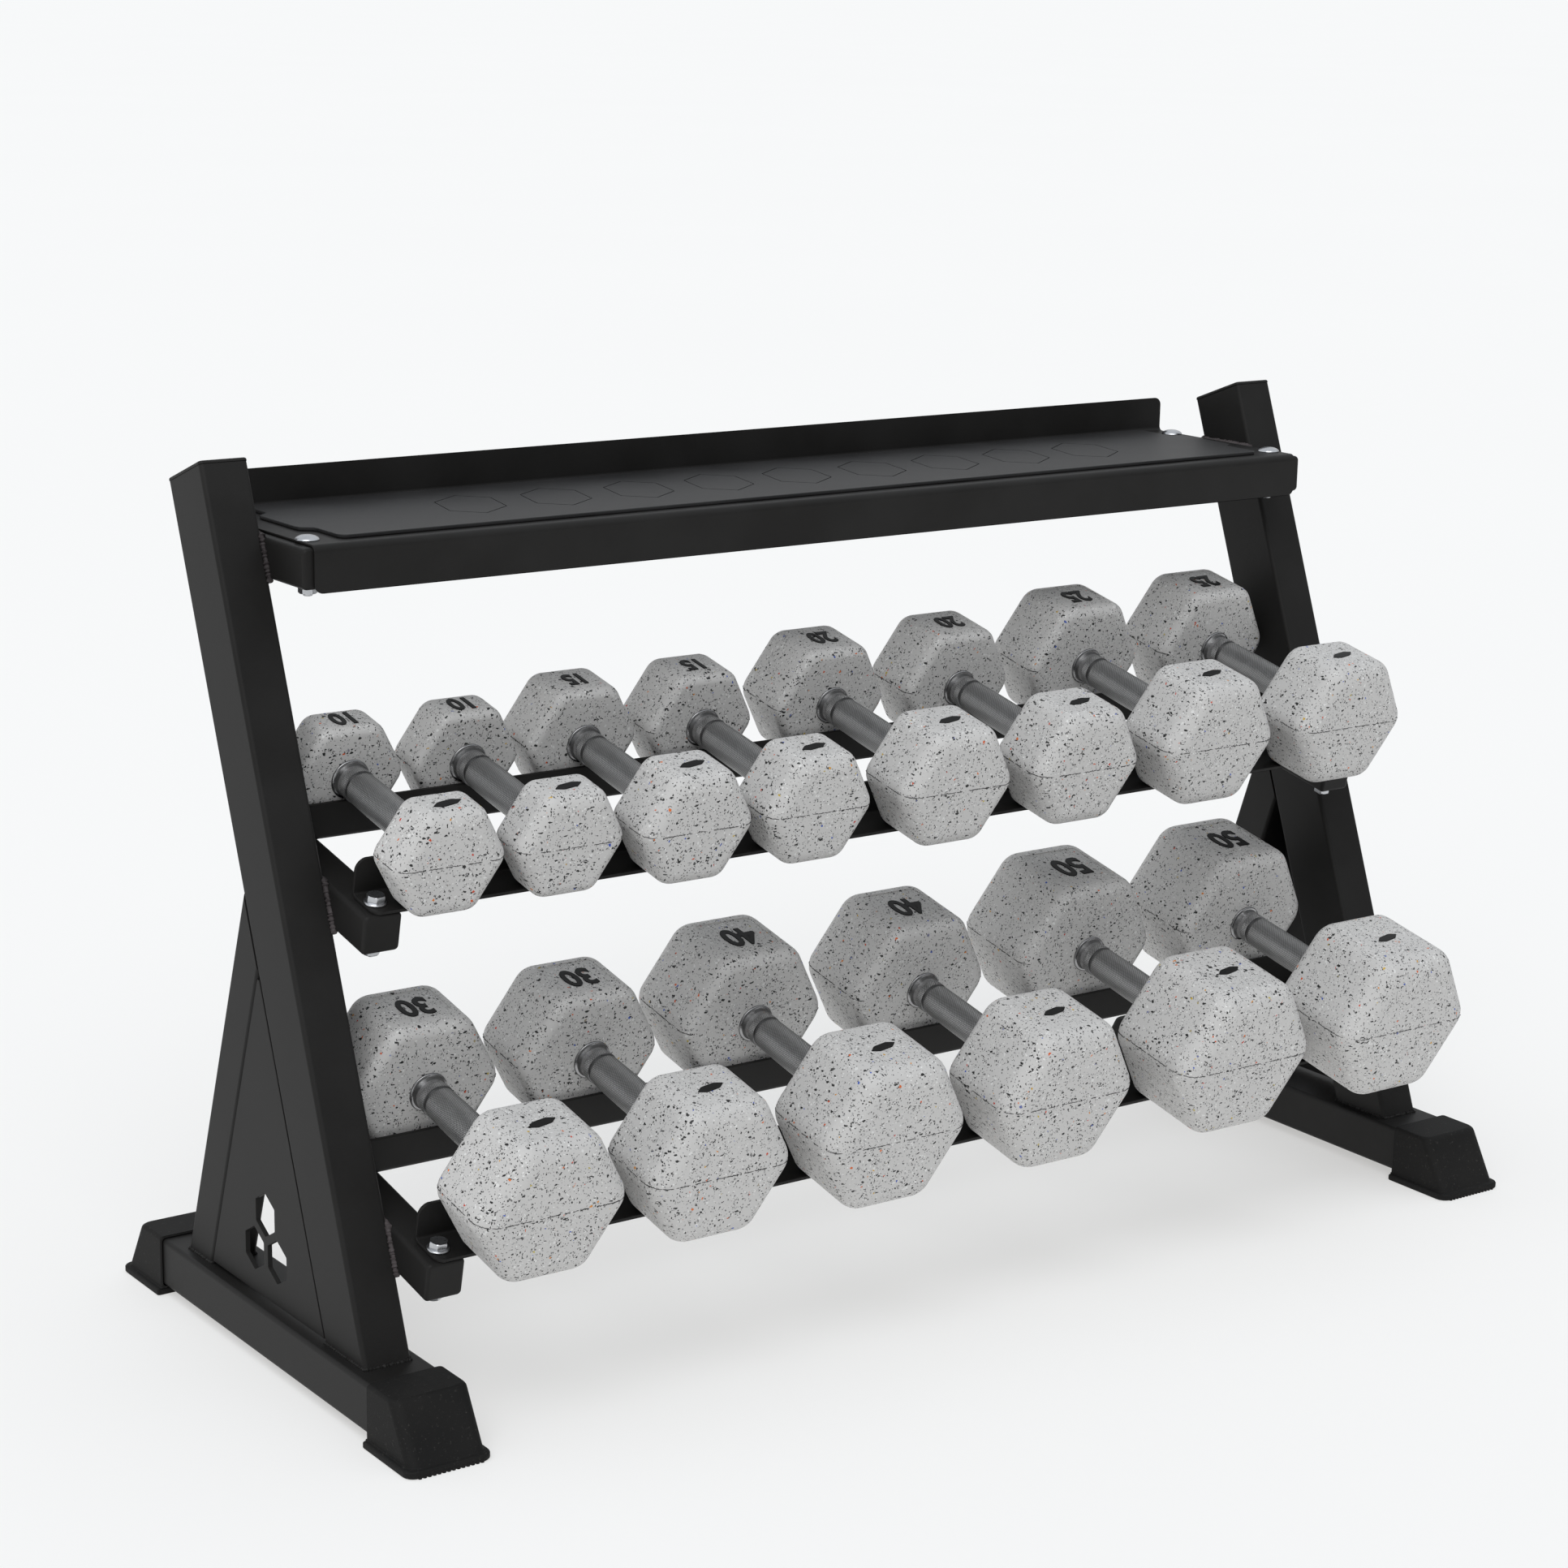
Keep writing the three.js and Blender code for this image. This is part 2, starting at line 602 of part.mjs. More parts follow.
// hexagon with rounded corners in the plane y, points to the left and right,
// pulled in by inset on every side
function hexRing(width, y, inset) {
  const round = HEAD_ROUNDING * width / 2;
  const core = width / 2 - round;
  const ring = [];
  for (let corner = 0; corner < 6; corner += 1) {
    for (let k = -1; k <= 1; k += 1) {
      const a = rad(60 * corner);
      const b = a + rad(30 * k);
      const r = round - inset;
      ring.push(new THREE.Vector3(
        core * Math.cos(a) + r * Math.cos(b),
        y,
        core * Math.sin(a) + r * Math.sin(b),
      ));
    }
  }
  return ring;
}

// one head between two planes; its ends are rounded by different radii
function makeHead(width, y0, y1, radius0, radius1) {
  const steps = [0, 45, 90].map(rad);
  const start = steps.map((a) => hexRing(
    width,
    y0 + radius0 * (1 - Math.cos(a)),
    radius0 * (1 - Math.sin(a)),
  ));
  const end = steps.map((a) => hexRing(
    width,
    y1 - radius1 * (1 - Math.cos(a)),
    radius1 * (1 - Math.sin(a)),
  )).reverse();
  return loft([...start, ...end]);
}

function makeHandle(y0, y1) {
  const r = HANDLE_RADIUS;
  const c = HANDLE_COLLAR_RADIUS;
  return new THREE.LatheGeometry([
    new THREE.Vector2(0, y0 - 4),
    new THREE.Vector2(c, y0 - 4),
    new THREE.Vector2(c, y0 + HANDLE_COLLAR / 2),
    new THREE.Vector2(r, y0 + HANDLE_COLLAR),
    new THREE.Vector2(r, y1 - HANDLE_COLLAR),
    new THREE.Vector2(c, y1 - HANDLE_COLLAR / 2),
    new THREE.Vector2(c, y1 + 4),
    new THREE.Vector2(0, y1 + 4),
  ], 10);
}

// dumbbell lying along Y, resting on z = 0
function makeDumbbell({ width, length }) {
  const round = HEAD_ROUNDING * width / 2;
  const innerEdge = HEAD_INNER_EDGE * width / 2;
  const outerEdge = HEAD_OUTER_EDGE * width / 2;
  const halfFlats = (Math.sqrt(3) / 2) * (width / 2 - round) + round;
  const front = makeHead(width, TIER_HEAD_BACK - length, TIER_HEAD_BACK, outerEdge, innerEdge);
  const rear = makeHead(width, rearHeadS, rearHeadS + length, innerEdge, outerEdge);
  return union(front, rear, makeHandle(TIER_HEAD_BACK, rearHeadS)).translate(0, 0, halfFlats);
}

for (const tier of TIERS) {
  tier.dumbbells.forEach(([weight, x], i) => {
    const hand = i % 2 === 0 ? 'left' : 'right';
    const dumbbell = add(`dumbbell_${weight}_${hand}`, makeDumbbell(WEIGHTS[weight]), dumbbellCover);
    placeOnTier(dumbbell, tier, x, 0, railTop + FIT);
  });
}

const bounds = new THREE.Box3().setFromObject(group, true);
group.position.y = -(bounds.min.y + bounds.max.y) / 2;

export default group;
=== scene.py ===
import math
import random

import bmesh
import bpy
from mathutils import Matrix, Vector


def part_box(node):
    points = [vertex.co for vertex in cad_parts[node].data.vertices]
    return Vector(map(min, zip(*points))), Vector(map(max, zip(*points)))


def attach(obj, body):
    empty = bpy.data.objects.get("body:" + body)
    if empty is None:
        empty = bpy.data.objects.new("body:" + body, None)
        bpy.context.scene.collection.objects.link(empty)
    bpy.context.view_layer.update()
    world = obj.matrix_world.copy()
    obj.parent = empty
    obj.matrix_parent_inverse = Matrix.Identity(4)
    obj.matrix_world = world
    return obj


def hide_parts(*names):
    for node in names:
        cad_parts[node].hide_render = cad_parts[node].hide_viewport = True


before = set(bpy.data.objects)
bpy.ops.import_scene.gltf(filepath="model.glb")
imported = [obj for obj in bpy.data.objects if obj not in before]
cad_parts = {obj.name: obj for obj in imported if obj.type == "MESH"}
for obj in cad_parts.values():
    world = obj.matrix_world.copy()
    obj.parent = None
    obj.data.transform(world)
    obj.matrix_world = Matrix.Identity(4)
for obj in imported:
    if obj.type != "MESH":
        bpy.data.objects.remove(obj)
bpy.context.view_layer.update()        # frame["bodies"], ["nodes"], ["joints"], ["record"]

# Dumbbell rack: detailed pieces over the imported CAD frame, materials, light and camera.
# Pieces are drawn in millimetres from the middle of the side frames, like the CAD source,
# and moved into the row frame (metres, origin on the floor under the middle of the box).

MM = 0.001
rad = math.radians
SIDES = (("left", -1), ("right", 1))

# ---- dimensions, as in the CAD source ---------------------------------------

FRAME_X = 527.5                  # middle of each side frame
UPRIGHT_WIDTH, UPRIGHT_DEPTH, UPRIGHT_LENGTH = 40, 60, 692
LEAN, FOOT_Y = rad(20.6), -151
BASE_WIDTH, BASE_HEIGHT, BASE_BOTTOM, BASE_HALF = 60, 40, 8, 210
BASE_TOP = BASE_BOTTOM + BASE_HEIGHT
BRACE_DEPTH, BRACE_LEAN, BRACE_Y = 40, rad(19), 148
TUBE_CORNER = 3.6
FOOT_TIP, FOOT_MOUTH, FOOT_TOP_TIP, FOOT_WIDTH, FOOT_HEIGHT = 245, 175, 217, 65, 50.5
FLANGE, FLANGE_HEIGHT = 3.5, 6
FOOT_TOP_ROUND, FOOT_TEETH, TOOTH, TOOTH_PITCH = 3.2, 14, 3, 4
GUSSET_BASE_GAP, GUSSET_SEAM, GUSSET_THICK, GUSSET_INSET = 3, 0.3, 4, 0.5
CUTOUT_RADIUS, CUTOUT_RIB, CUTOUT_LOW = 18, 7, 36
ARM, ARM_X, ARM_CORNER, ARM_END_ROUND = 32, 491.2, 4, 3
TRAY_ARM_Y, TRAY_ARM_TOP, TRAY_ARM_LENGTH = 4.6, 640.4, 180
PAN_TOP = 642.7
TRAY_LENGTH, TRAY_FRONT, TRAY_BACK, TRAY_APRON, TRAY_LIP = 998, 1.6, 190, 37, 31
TRAY_SHEET, TRAY_BEND = 2, 6
TRAY_BOLTS = (29, 162)
MAT_FRONT, MAT_BACK, MAT_HALF, MAT_THICK = 18, 183, 479, 3
MAT_CORNER, MAT_NOTCH, MAT_NOTCH_LENGTH = 8, 11, 38
GROOVES, GROOVE_PITCH, GROOVE_RADII, GROOVE_DEPTH = 9, 80, (49.0, 47.2), 0.8
SLOPE = rad(11.7)
TIER_ARM_LENGTH = 170
RAIL_LENGTH, RAIL_LEG, RAIL_UPRIGHT, RAIL_SHEET = 1000, 36, 31.8, 3
RAIL_TOP, RAIL_GAP, RAIL_BEND = 3.3, 0.15, 5
REAR_RAIL_S = 131
RAIL_BOLT_S = (15, 152)
NUT_HEIGHT, SEAT_GAP, SHANK_PAST_NUT, BLIND_SHANK = 6.5, 0.3, 1.5, 12
HEAD_BACK, HANDLE_LENGTH = 15, 122
HEAD_ROUNDING, HEAD_INNER, HEAD_OUTER = 0.3, 0.16, 0.26      # shares of half the width
REST_H = 3.6                     # underside of the heads above the arms
PANEL_FROM_WEIGHT, PANEL_DEPTH, PANEL_LENGTH = 25, 0.9, 0.56    # length as a share of the head
NUMERAL_PLACE = 0.46             # middle of the numeral, as a share of the head's length
NUMERAL_HEIGHT = {10: 20, 15: 19, 20: 21, 25: 22, 30: 25, 40: 27, 50: 29}
MARK_RADIUS, MARK_THICK, MARK_TURN = 11, 1.4, rad(12)
HANDLE_SIDES, KNURL_ROUND, KNURL_PITCH = 40, 52, 1.7
ARM_BEAD, FRAME_BEAD, MOULD_LINE = 2.6, 2.0, 0.34               # radii
WEIGHTS = {
    10: (95.5, 42.5), 15: (102.5, 55), 20: (112, 63.5), 25: (123, 67.5),
    30: (128.5, 74), 40: (137, 84.5), 50: (145.5, 95),
}
TIERS = {
    "upper": (-85.4, 376.4, ((10, -452), (10, -347), (15, -239), (15, -123.5),
                             (20, 8.5), (20, 145.5), (25, 289), (25, 443))),
    "lower": (-176.6, 131.2, ((30, -438), (30, -289.5), (40, -131.5),
                              (40, 41.5), (50, 224.5), (50, 409.5))),
}

low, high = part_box("left_base_tube")             # the CAD tube tells where the row frame lies
ROW = Matrix.Translation((0, (low[1] + high[1]) / 2, 0)) @ Matrix.Scale(MM, 4)
ALONG_Y = Matrix.Rotation(rad(-90), 4, "X")      # local +Z to +Y


def shift(x=0, y=0, z=0):
    return Matrix.Translation((x, y, z))


def on_tier(tier, x, s, h):
    front_y, front_z = TIERS[tier][:2]
    return shift(
        x,
        front_y + math.cos(SLOPE) * s - math.sin(SLOPE) * h,
        front_z + math.sin(SLOPE) * s + math.cos(SLOPE) * h,
    ) @ Matrix.Rotation(SLOPE, 4, "X")


# ---- node helpers ---------------------------------------------------------------

def node(tree, kind, values=None, **settings):
    made = tree.nodes.new(kind)
    for key, value in settings.items():
        setattr(made, key, value)
    for socket, value in (values or {}).items():
        if isinstance(value, bpy.types.NodeSocket):
            tree.links.new(value, made.inputs[socket])
        else:
            made.inputs[socket].default_value = value
    return made


def maths(tree, operation, a, b=0.0, c=0.0):
    return node(tree, "ShaderNodeMath", {0: a, 1: b, 2: c}, operation=operation).outputs[0]


def mix(tree, factor, a, b):
    made = node(tree, "ShaderNodeMix", data_type="RGBA")
    for index, value in ((0, factor), (6, a), (7, b)):
        if isinstance(value, bpy.types.NodeSocket):
            tree.links.new(value, made.inputs[index])
        else:
            made.inputs[index].default_value = value
    return made.outputs[2]


def ramp(tree, factor, stops):
    made = node(tree, "ShaderNodeValToRGB", {"Fac": factor})
    made.color_ramp.elements[0].position = stops[0][0]
    made.color_ramp.elements[0].color = grey(stops[0][1])
    made.color_ramp.elements[1].position = stops[-1][0]
    made.color_ramp.elements[1].color = grey(stops[-1][1])
    for position, value in stops[1:-1]:
        made.color_ramp.elements.new(position).color = grey(value)
    return made.outputs["Color"]


def grey(value):
    return (value, value, value, 1) if isinstance(value, (int, float)) else (*value, 1)


def start(name, metallic=0.0, specular=0.5):
    made = bpy.data.materials.new(name)
    made.use_nodes = True
    tree = made.node_tree
    shader = tree.nodes["Principled BSDF"]
    shader.inputs["Metallic"].default_value = metallic
    shader.inputs["Specular IOR Level"].default_value = specular
    place = node(tree, "ShaderNodeTexCoord").outputs["Object"]
    return made, tree, shader, place


def noise(tree, place, scale, detail=2.0, rough=0.5):
    return node(
        tree, "ShaderNodeTexNoise",
        {"Vector": place, "Scale": scale, "Detail": detail, "Roughness": rough},
    ).outputs["Fac"]


def bump(tree, shader, height, distance, strength=1.0):
    made = node(tree, "ShaderNodeBump",
                {"Height": height, "Distance": distance, "Strength": strength})
    tree.links.new(made.outputs["Normal"], shader.inputs["Normal"])


def coated(name, dark, light, rough, grain, depth, dust=0.0, specular=0.17):
    """A painted, moulded or plated surface: two close tones, fine grain and soft wear."""
    made, tree, shader, place = start(name, specular=specular)
    broad = noise(tree, place, 14, 4)
    fine = noise(tree, place, grain, 3, 0.6)
    tone = mix(tree, ramp(tree, broad, ((0.35, 0.0), (0.68, 1.0))), grey(dark), grey(light))
    if dust:
        specks = noise(tree, place, grain * 0.45, 5, 0.7)
        amount = ramp(tree, specks, ((0.6, 0.0), (0.72, dust)))
        tone = mix(tree, amount, tone, grey((0.16, 0.15, 0.14)))
    tree.links.new(tone, shader.inputs["Base Color"])
    spread = maths(tree, "MULTIPLY_ADD", broad, 0.14, rough - 0.07)
    tree.links.new(spread, shader.inputs["Roughness"])
    bump(tree, shader, fine, depth)
    return made


def metal(name, dark, light, rough, grain, depth):
    """Bare or plated metal: two close tones, with a fine grain in its gloss."""
    made, tree, shader, place = start(name, metallic=1.0)
    broad = noise(tree, place, 90, 4)
    fine = noise(tree, place, grain, 3, 0.6)
    tree.links.new(mix(tree, broad, grey(dark), grey(light)), shader.inputs["Base Color"])
    tree.links.new(maths(tree, "MULTIPLY_ADD", fine, 0.2, rough - 0.1), shader.inputs["Roughness"])
    bump(tree, shader, fine, depth)
    return made


def knurled(name):
    """Crossed diamond knurling: U runs round the grip, V along it."""
    made, tree, shader, place = start(name, metallic=1.0)
    wear = noise(tree, place, 120, 4)
    uv = node(tree, "ShaderNodeSeparateXYZ", {0: node(tree, "ShaderNodeUVMap").outputs["UV"]})
    u, v = uv.outputs[0], uv.outputs[1]
    waves = []
    for sign in ("ADD", "SUBTRACT"):
        line = maths(tree, "PINGPONG", maths(tree, sign, u, v), 0.5)
        waves.append(maths(tree, "MINIMUM", maths(tree, "MULTIPLY", line, 3.2), 1.0))
    height = maths(tree, "MINIMUM", waves[0], waves[1])
    # painted shade: the grooves between the diamonds are painted near black, while the diamonds'
    # tops keep the steel's two tones
    tone = mix(tree, height, grey(0.05), mix(tree, wear, grey(0.42), grey(0.6)))
    tree.links.new(tone, shader.inputs["Base Color"])
    tree.links.new(maths(tree, "MULTIPLY_ADD", wear, 0.2, 0.3), shader.inputs["Roughness"])
    bump(tree, shader, height, 0.00035)
    return made


def chips(tree, place, size, share, sharpness=0.12):
    """Angular chips: a random share of Voronoi cells, shrunk from their borders."""
    scale = 1 / (size * MM)
    cells = node(tree, "ShaderNodeTexVoronoi", {"Vector": place, "Scale": scale})
    edges = node(tree, "ShaderNodeTexVoronoi", {"Vector": place, "Scale": scale},
                 feature="DISTANCE_TO_EDGE")
    pick = node(tree, "ShaderNodeSeparateColor", {0: cells.outputs["Color"]})
    chosen = maths(tree, "LESS_THAN", pick.outputs[0], share)
    inset = maths(tree, "MULTIPLY_ADD", pick.outputs[1], 0.16, sharpness - 0.08)
    inside = maths(tree, "GREATER_THAN", edges.outputs["Distance"], inset)
    return maths(tree, "MULTIPLY", chosen, inside), pick.outputs[2]


def stretched(tree, place, factors):
    return node(tree, "ShaderNodeVectorMath", {0: place, 1: factors},
                operation="MULTIPLY").outputs[0]


def speckled(name):
    """A pale moulded cover with pale, grey, black and a few coloured chips."""
    made, tree, shader, place = start(name)
    warp = node(tree, "ShaderNodeTexNoise", {"Vector": place, "Scale": 380.0, "Detail": 2.0})
    bent = node(tree, "ShaderNodeVectorMath",
                {0: warp.outputs["Color"], 1: (0.5, 0.5, 0.5)}, operation="SUBTRACT")
    bent = node(tree, "ShaderNodeVectorMath",
                {0: bent.outputs[0], 1: (0.0016, 0.0016, 0.0016)}, operation="MULTIPLY")
    bent = node(tree, "ShaderNodeVectorMath",
                {0: place, 1: bent.outputs[0]}, operation="ADD").outputs[0]
    broad = noise(tree, place, 22, 4)
    tone = mix(tree, broad, grey((0.515, 0.508, 0.5)), grey((0.58, 0.573, 0.563)))
    # size in mm, share of the cells, colour
    pale_chips = ((2.4, 0.03, (0.68, 0.68, 0.67)), (1.3, 0.035, (0.74, 0.74, 0.73)),
                  (1.6, 0.06, (0.36, 0.36, 0.36)))
    for size, share, colour in pale_chips:
        amount, _ = chips(tree, bent, size, share)
        tone = mix(tree, amount, tone, grey(colour))
    # size in mm, share of the cells, stretch along the axes
    black_chips = ((3.0, 0.045, (1, 1, 1.7)), (2.0, 0.05, (1.8, 1, 1)),
                   (1.2, 0.055, (1, 1.6, 1)), (0.8, 0.04, (1, 1, 1)))
    for size, share, stretch in black_chips:
        amount, _ = chips(tree, stretched(tree, bent, stretch), size, share)
        tone = mix(tree, amount, tone, grey(0.012))
    amount, which = chips(tree, bent, 1.9, 0.008)
    hue = ramp(tree, which, ((0.0, (0.5, 0.03, 0.02)), (0.4, (0.65, 0.16, 0.02)),
                             (0.6, (0.5, 0.4, 0.04)), (0.8, (0.03, 0.08, 0.4))))
    tone = mix(tree, amount, tone, hue)
    tree.links.new(tone, shader.inputs["Base Color"])
    fine = noise(tree, place, 700, 3)
    tree.links.new(maths(tree, "MULTIPLY_ADD", broad, 0.2, 0.42), shader.inputs["Roughness"])
    bump(tree, shader, fine, 0.00008)
    return made


FRAME_BLACK = coated("powder_coat", (0.0115, 0.011, 0.0105), (0.0165, 0.016, 0.0155),
                     0.5, 1400, 0.00009)
FOOT_RUBBER = coated("boot_rubber", (0.007, 0.007, 0.007), (0.012, 0.0115, 0.011),
                     0.68, 900, 0.00012, dust=0.25)
MAT_RUBBER = coated("mat_rubber", (0.018, 0.018, 0.0185), (0.027, 0.027, 0.0275),
                    0.5, 1100, 0.0001, specular=0.26)
WELD = coated("bare_weld", (0.035, 0.03, 0.031), (0.085, 0.074, 0.076),
              0.55, 420, 0.0004, dust=0.2)
NUMERAL = coated("numeral_black", (0.007, 0.007, 0.007), (0.011, 0.011, 0.011),
                 0.5, 900, 0.00005)
SEAM = coated("mould_line", (0.03, 0.03, 0.03), (0.08, 0.08, 0.08), 0.6, 900, 0.0001)
ZINC = metal("zinc_plate", (0.42, 0.43, 0.45), (0.66, 0.67, 0.69), 0.3, 800, 0.00006)
STEEL = metal("dark_steel", (0.13, 0.13, 0.132), (0.25, 0.25, 0.252), 0.3, 900, 0.00005)
BRIGHT = metal("turned_steel", (0.3, 0.3, 0.305), (0.44, 0.44, 0.445), 0.22, 900, 0.00004)
KNURL = knurled("knurled_steel")
COVER = speckled("speckled_cover")

# ---- mesh helpers ---------------------------------------------------------------

def loft(bm, rings, closed=False, capped=True):
    """Faces between rings of equal length; closed joins the last ring to the first."""
    rows = [[bm.verts.new(p) for p in ring] for ring in rings]
    faces = []
    following = rows[1:] + ([rows[0]] if closed else [])
    for row, after in zip(rows, following):
        for i in range(len(row)):
            j = (i + 1) % len(row)
            faces.append(bm.faces.new((row[i], row[j], after[j], after[i])))
    if capped and not closed:
        faces.append(bm.faces.new(list(reversed(rows[0]))))
        faces.append(bm.faces.new(rows[-1]))
    return faces


def rounded(width, depth, radius, steps=5):
    """The outline of a rectangle with rounded corners, round the origin."""
    radius = max(radius, 0.2)
    points = []
    for cx, cy, begin in ((1, -1, -90), (1, 1, 0), (-1, 1, 90), (-1, -1, 180)):
        for k in range(steps + 1):
            a = rad(begin + 90 * k / steps)
            points.append((
                cx * (width / 2 - radius) + radius * math.cos(a),
                cy * (depth / 2 - radius) + radius * math.sin(a),
            ))
    return points


def beam(bm, width, depth, corner, z0, z1, round0=0.0, round1=0.0, steps=4):
    """A rounded rectangular bar along Z with rounded ends."""
    rings = []
    for z, radius, sign in ((z0, round0, 1), (z1, round1, -1)):
        angles = [rad(90 * k / steps) for k in range(steps + 1)] if radius else [rad(90)]
        end = []
        for a in angles:
            inset = radius * (1 - math.sin(a))
            level = z + sign * radius * (1 - math.cos(a))
            section = rounded(width - 2 * inset, depth - 2 * inset, corner - inset)
            end.append([(x, y, level) for x, y in section])
        rings += end if sign > 0 else end[::-1]
    loft(bm, rings)


def turned(bm, profile, sides=32, hexagon=None, closed=False):
    """Rings round Z from (radius, z); a hexagon caps the radius by its across-flats half."""
    rings = []
    for entry in profile:
        radius, z = entry[:2]
        flat = entry[2] if len(entry) > 2 else None
        ring = []
        for k in range(sides):
            a = 2 * math.pi * k / sides
            r = radius
            if flat:
                off = (a + math.pi / 6) % (math.pi / 3) - math.pi / 6
                r = min(radius, flat / math.cos(off))
            ring.append((r * math.cos(a), r * math.sin(a), z))
        rings.append(ring)
    return loft(bm, rings, closed)


def sheet(bm, corners, thickness, outer, half, start_round, end_round, soft=0.45):
    """A bent sheet along X: corners are the (y, z) middle line, its free edges' end
    corners are rounded, and every edge is broken by a small chamfer."""
    bend = outer - thickness / 2
    points = [Vector(p) for p in corners]
    line = []
    for i, point in enumerate(points):
        if i in (0, len(points) - 1):
            along = (points[1] - points[0]) if i == 0 else (points[-1] - points[-2])
            line.append((point, along.normalized()))
            continue
        d0 = (point - points[i - 1]).normalized()
        d1 = (points[i + 1] - point).normalized()
        turn = math.copysign(1, d0.x * d1.y - d0.y * d1.x)
        centre = point - d0 * bend + Vector((-d0.y, d0.x)) * turn * bend
        first = math.atan2(-turn * d0.x, turn * d0.y)
        for k in range(7):
            a = first + turn * rad(90) * k / 6
            out = Vector((math.cos(a), math.sin(a)))
            line.append((centre + out * bend, Vector((-out.y, out.x)) * turn))
    stations = []
    steps = 8
    for k in range(steps + 1):
        a = rad(90 * k / steps)
        away = start_round * (1 - math.cos(a))
        point, along = line[0]
        stations.append((point + along * away, along, start_round * (1 - math.sin(a))))
    stations += [(p, d, 0.0) for p, d in line[1:-1]]
    for k in range(steps, -1, -1):
        a = rad(90 * k / steps)
        away = end_round * (1 - math.cos(a))
        point, along = line[-1]
        stations.append((point - along * away, along, end_round * (1 - math.sin(a))))
    first, last = stations[0], stations[-1]
    stations.insert(1, (first[0] + first[1] * soft, first[1], first[2] * 0.93))
    stations.insert(-1, (last[0] - last[1] * soft, last[1], last[2] * 0.93))
    rings = []
    for index, (point, along, trim) in enumerate(stations):
        end = index in (0, len(stations) - 1)
        h = thickness / 2 - (soft if end else 0)
        reach = half - trim
        side = Vector((-along.y, along.x))
        c = 0.15 if end else soft
        outline = ((-reach, -h + c), (-reach, h - c), (-reach + c, h), (reach - c, h),
                   (reach, h - c), (reach, -h + c), (reach - c, -h), (-reach + c, -h))
        rings.append([(x, point.x + side.x * o, point.y + side.y * o) for x, o in outline])
    loft(bm, rings)


def plate(outlines, thickness, edge):
    """A flat plate in XY, centred on z = 0, from an outline and its holes."""
    curve = bpy.data.curves.new("plate", "CURVE")
    curve.dimensions = "2D"
    curve.fill_mode = "BOTH"
    curve.extrude = thickness / 2 - edge
    curve.bevel_depth = edge
    curve.bevel_resolution = 1
    curve.offset = -edge
    for outline in outlines:
        spline = curve.splines.new("POLY")
        spline.points.add(len(outline) - 1)
        for point, (x, y) in zip(spline.points, outline):
            point.co = (x, y, 0, 1)
        spline.use_cyclic_u = True
    return from_curve(curve)


def from_curve(curve):
    """The curve's mesh; the curve is used up."""
    holder = bpy.data.objects.new("holder", curve)
    bpy.context.scene.collection.objects.link(holder)
    graph = bpy.context.evaluated_depsgraph_get()
    mesh = bpy.data.meshes.new_from_object(holder.evaluated_get(graph))
    bm = bmesh.new()
    bm.from_mesh(mesh)
    bmesh.ops.remove_doubles(bm, verts=bm.verts, dist=1e-3)
    bpy.data.objects.remove(holder)
    bpy.data.curves.remove(curve)
    bpy.data.meshes.remove(mesh)
    return bm


def carve(bm, cutter):
    """bm less the cutter, both in the same frame; the cutter is used up."""
    objects = []
    for source in (bm, cutter):
        bmesh.ops.recalc_face_normals(source, faces=source.faces)
        mesh = bpy.data.meshes.new("carve")
        source.to_mesh(mesh)
        source.free()
        made = bpy.data.objects.new("carve", mesh)
        bpy.context.scene.collection.objects.link(made)
        objects.append(made)
    modifier = objects[0].modifiers.new("cut", "BOOLEAN")
    modifier.object = objects[1]
    modifier.operation = "DIFFERENCE"
    modifier.solver = "EXACT"
    graph = bpy.context.evaluated_depsgraph_get()
    mesh = bpy.data.meshes.new_from_object(objects[0].evaluated_get(graph))
    result = bmesh.new()
    result.from_mesh(mesh)
    bpy.data.meshes.remove(mesh)
    for made in objects:
        mesh = made.data
        bpy.data.objects.remove(made)
        bpy.data.meshes.remove(mesh)
    return result


def piece(name, bm, place, materials, body="rack", slot="frame_black", nodes=(), sharp=42):
    """Puts bm, drawn in mm, at place as an object that rides its body and stands for nodes."""
    bm.transform(ROW @ place)
    bmesh.ops.recalc_face_normals(bm, faces=bm.faces)
    mesh = bpy.data.meshes.new(name)
    bm.to_mesh(mesh)
    bm.free()
    mesh.shade_smooth()
    mesh.set_sharp_from_angle(angle=rad(sharp))
    for used in materials if isinstance(materials, tuple) else (materials,):
        mesh.materials.append(used)
    made = bpy.data.objects.new(name, mesh)
    bpy.context.scene.collection.objects.link(made)
    weighted = made.modifiers.new("normals", "WEIGHTED_NORMAL")
    weighted.keep_sharp = True
    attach(made, body)
    if nodes:
        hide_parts(*nodes)
    return made


def sweep(bm, points, radius, rng, closed, spacing=0.9, sides=8, wobble=0.22):
    """A weld bead along straight runs between the points, with ripples and wobble."""
    path = []
    ends = points[1:] + (points[:1] if closed else [])
    for a, b in zip(points, ends):
        count = max(2, int((b - a).length / spacing))
        path += [a.lerp(b, k / count) for k in range(count)]
    if not closed:
        path.append(points[-1])
    rings = []
    for i, here in enumerate(path):
        before = path[i - 1] if closed or i else here
        after = path[(i + 1) % len(path)] if closed or i + 1 < len(path) else here
        along = (after - before).normalized()
        side = along.cross(Vector((0.31, 0.52, 0.79))).normalized()
        up = along.cross(side)
        swell = 1 + 0.16 * math.sin(i * 1.9) + rng.uniform(-wobble, wobble)
        end = 0.45 if not closed and i in (0, len(path) - 1) else 1.0
        shifted = here + side * rng.uniform(-0.3, 0.3) + up * rng.uniform(-0.3, 0.3)
        rings.append([
            shifted + (side * math.cos(t) + up * math.sin(t)) * radius * swell * end
            for t in (2 * math.pi * k / sides for k in range(sides))
        ])
    loft(bm, rings, closed=closed)


# ---- side frames ----------------------------------------------------------------

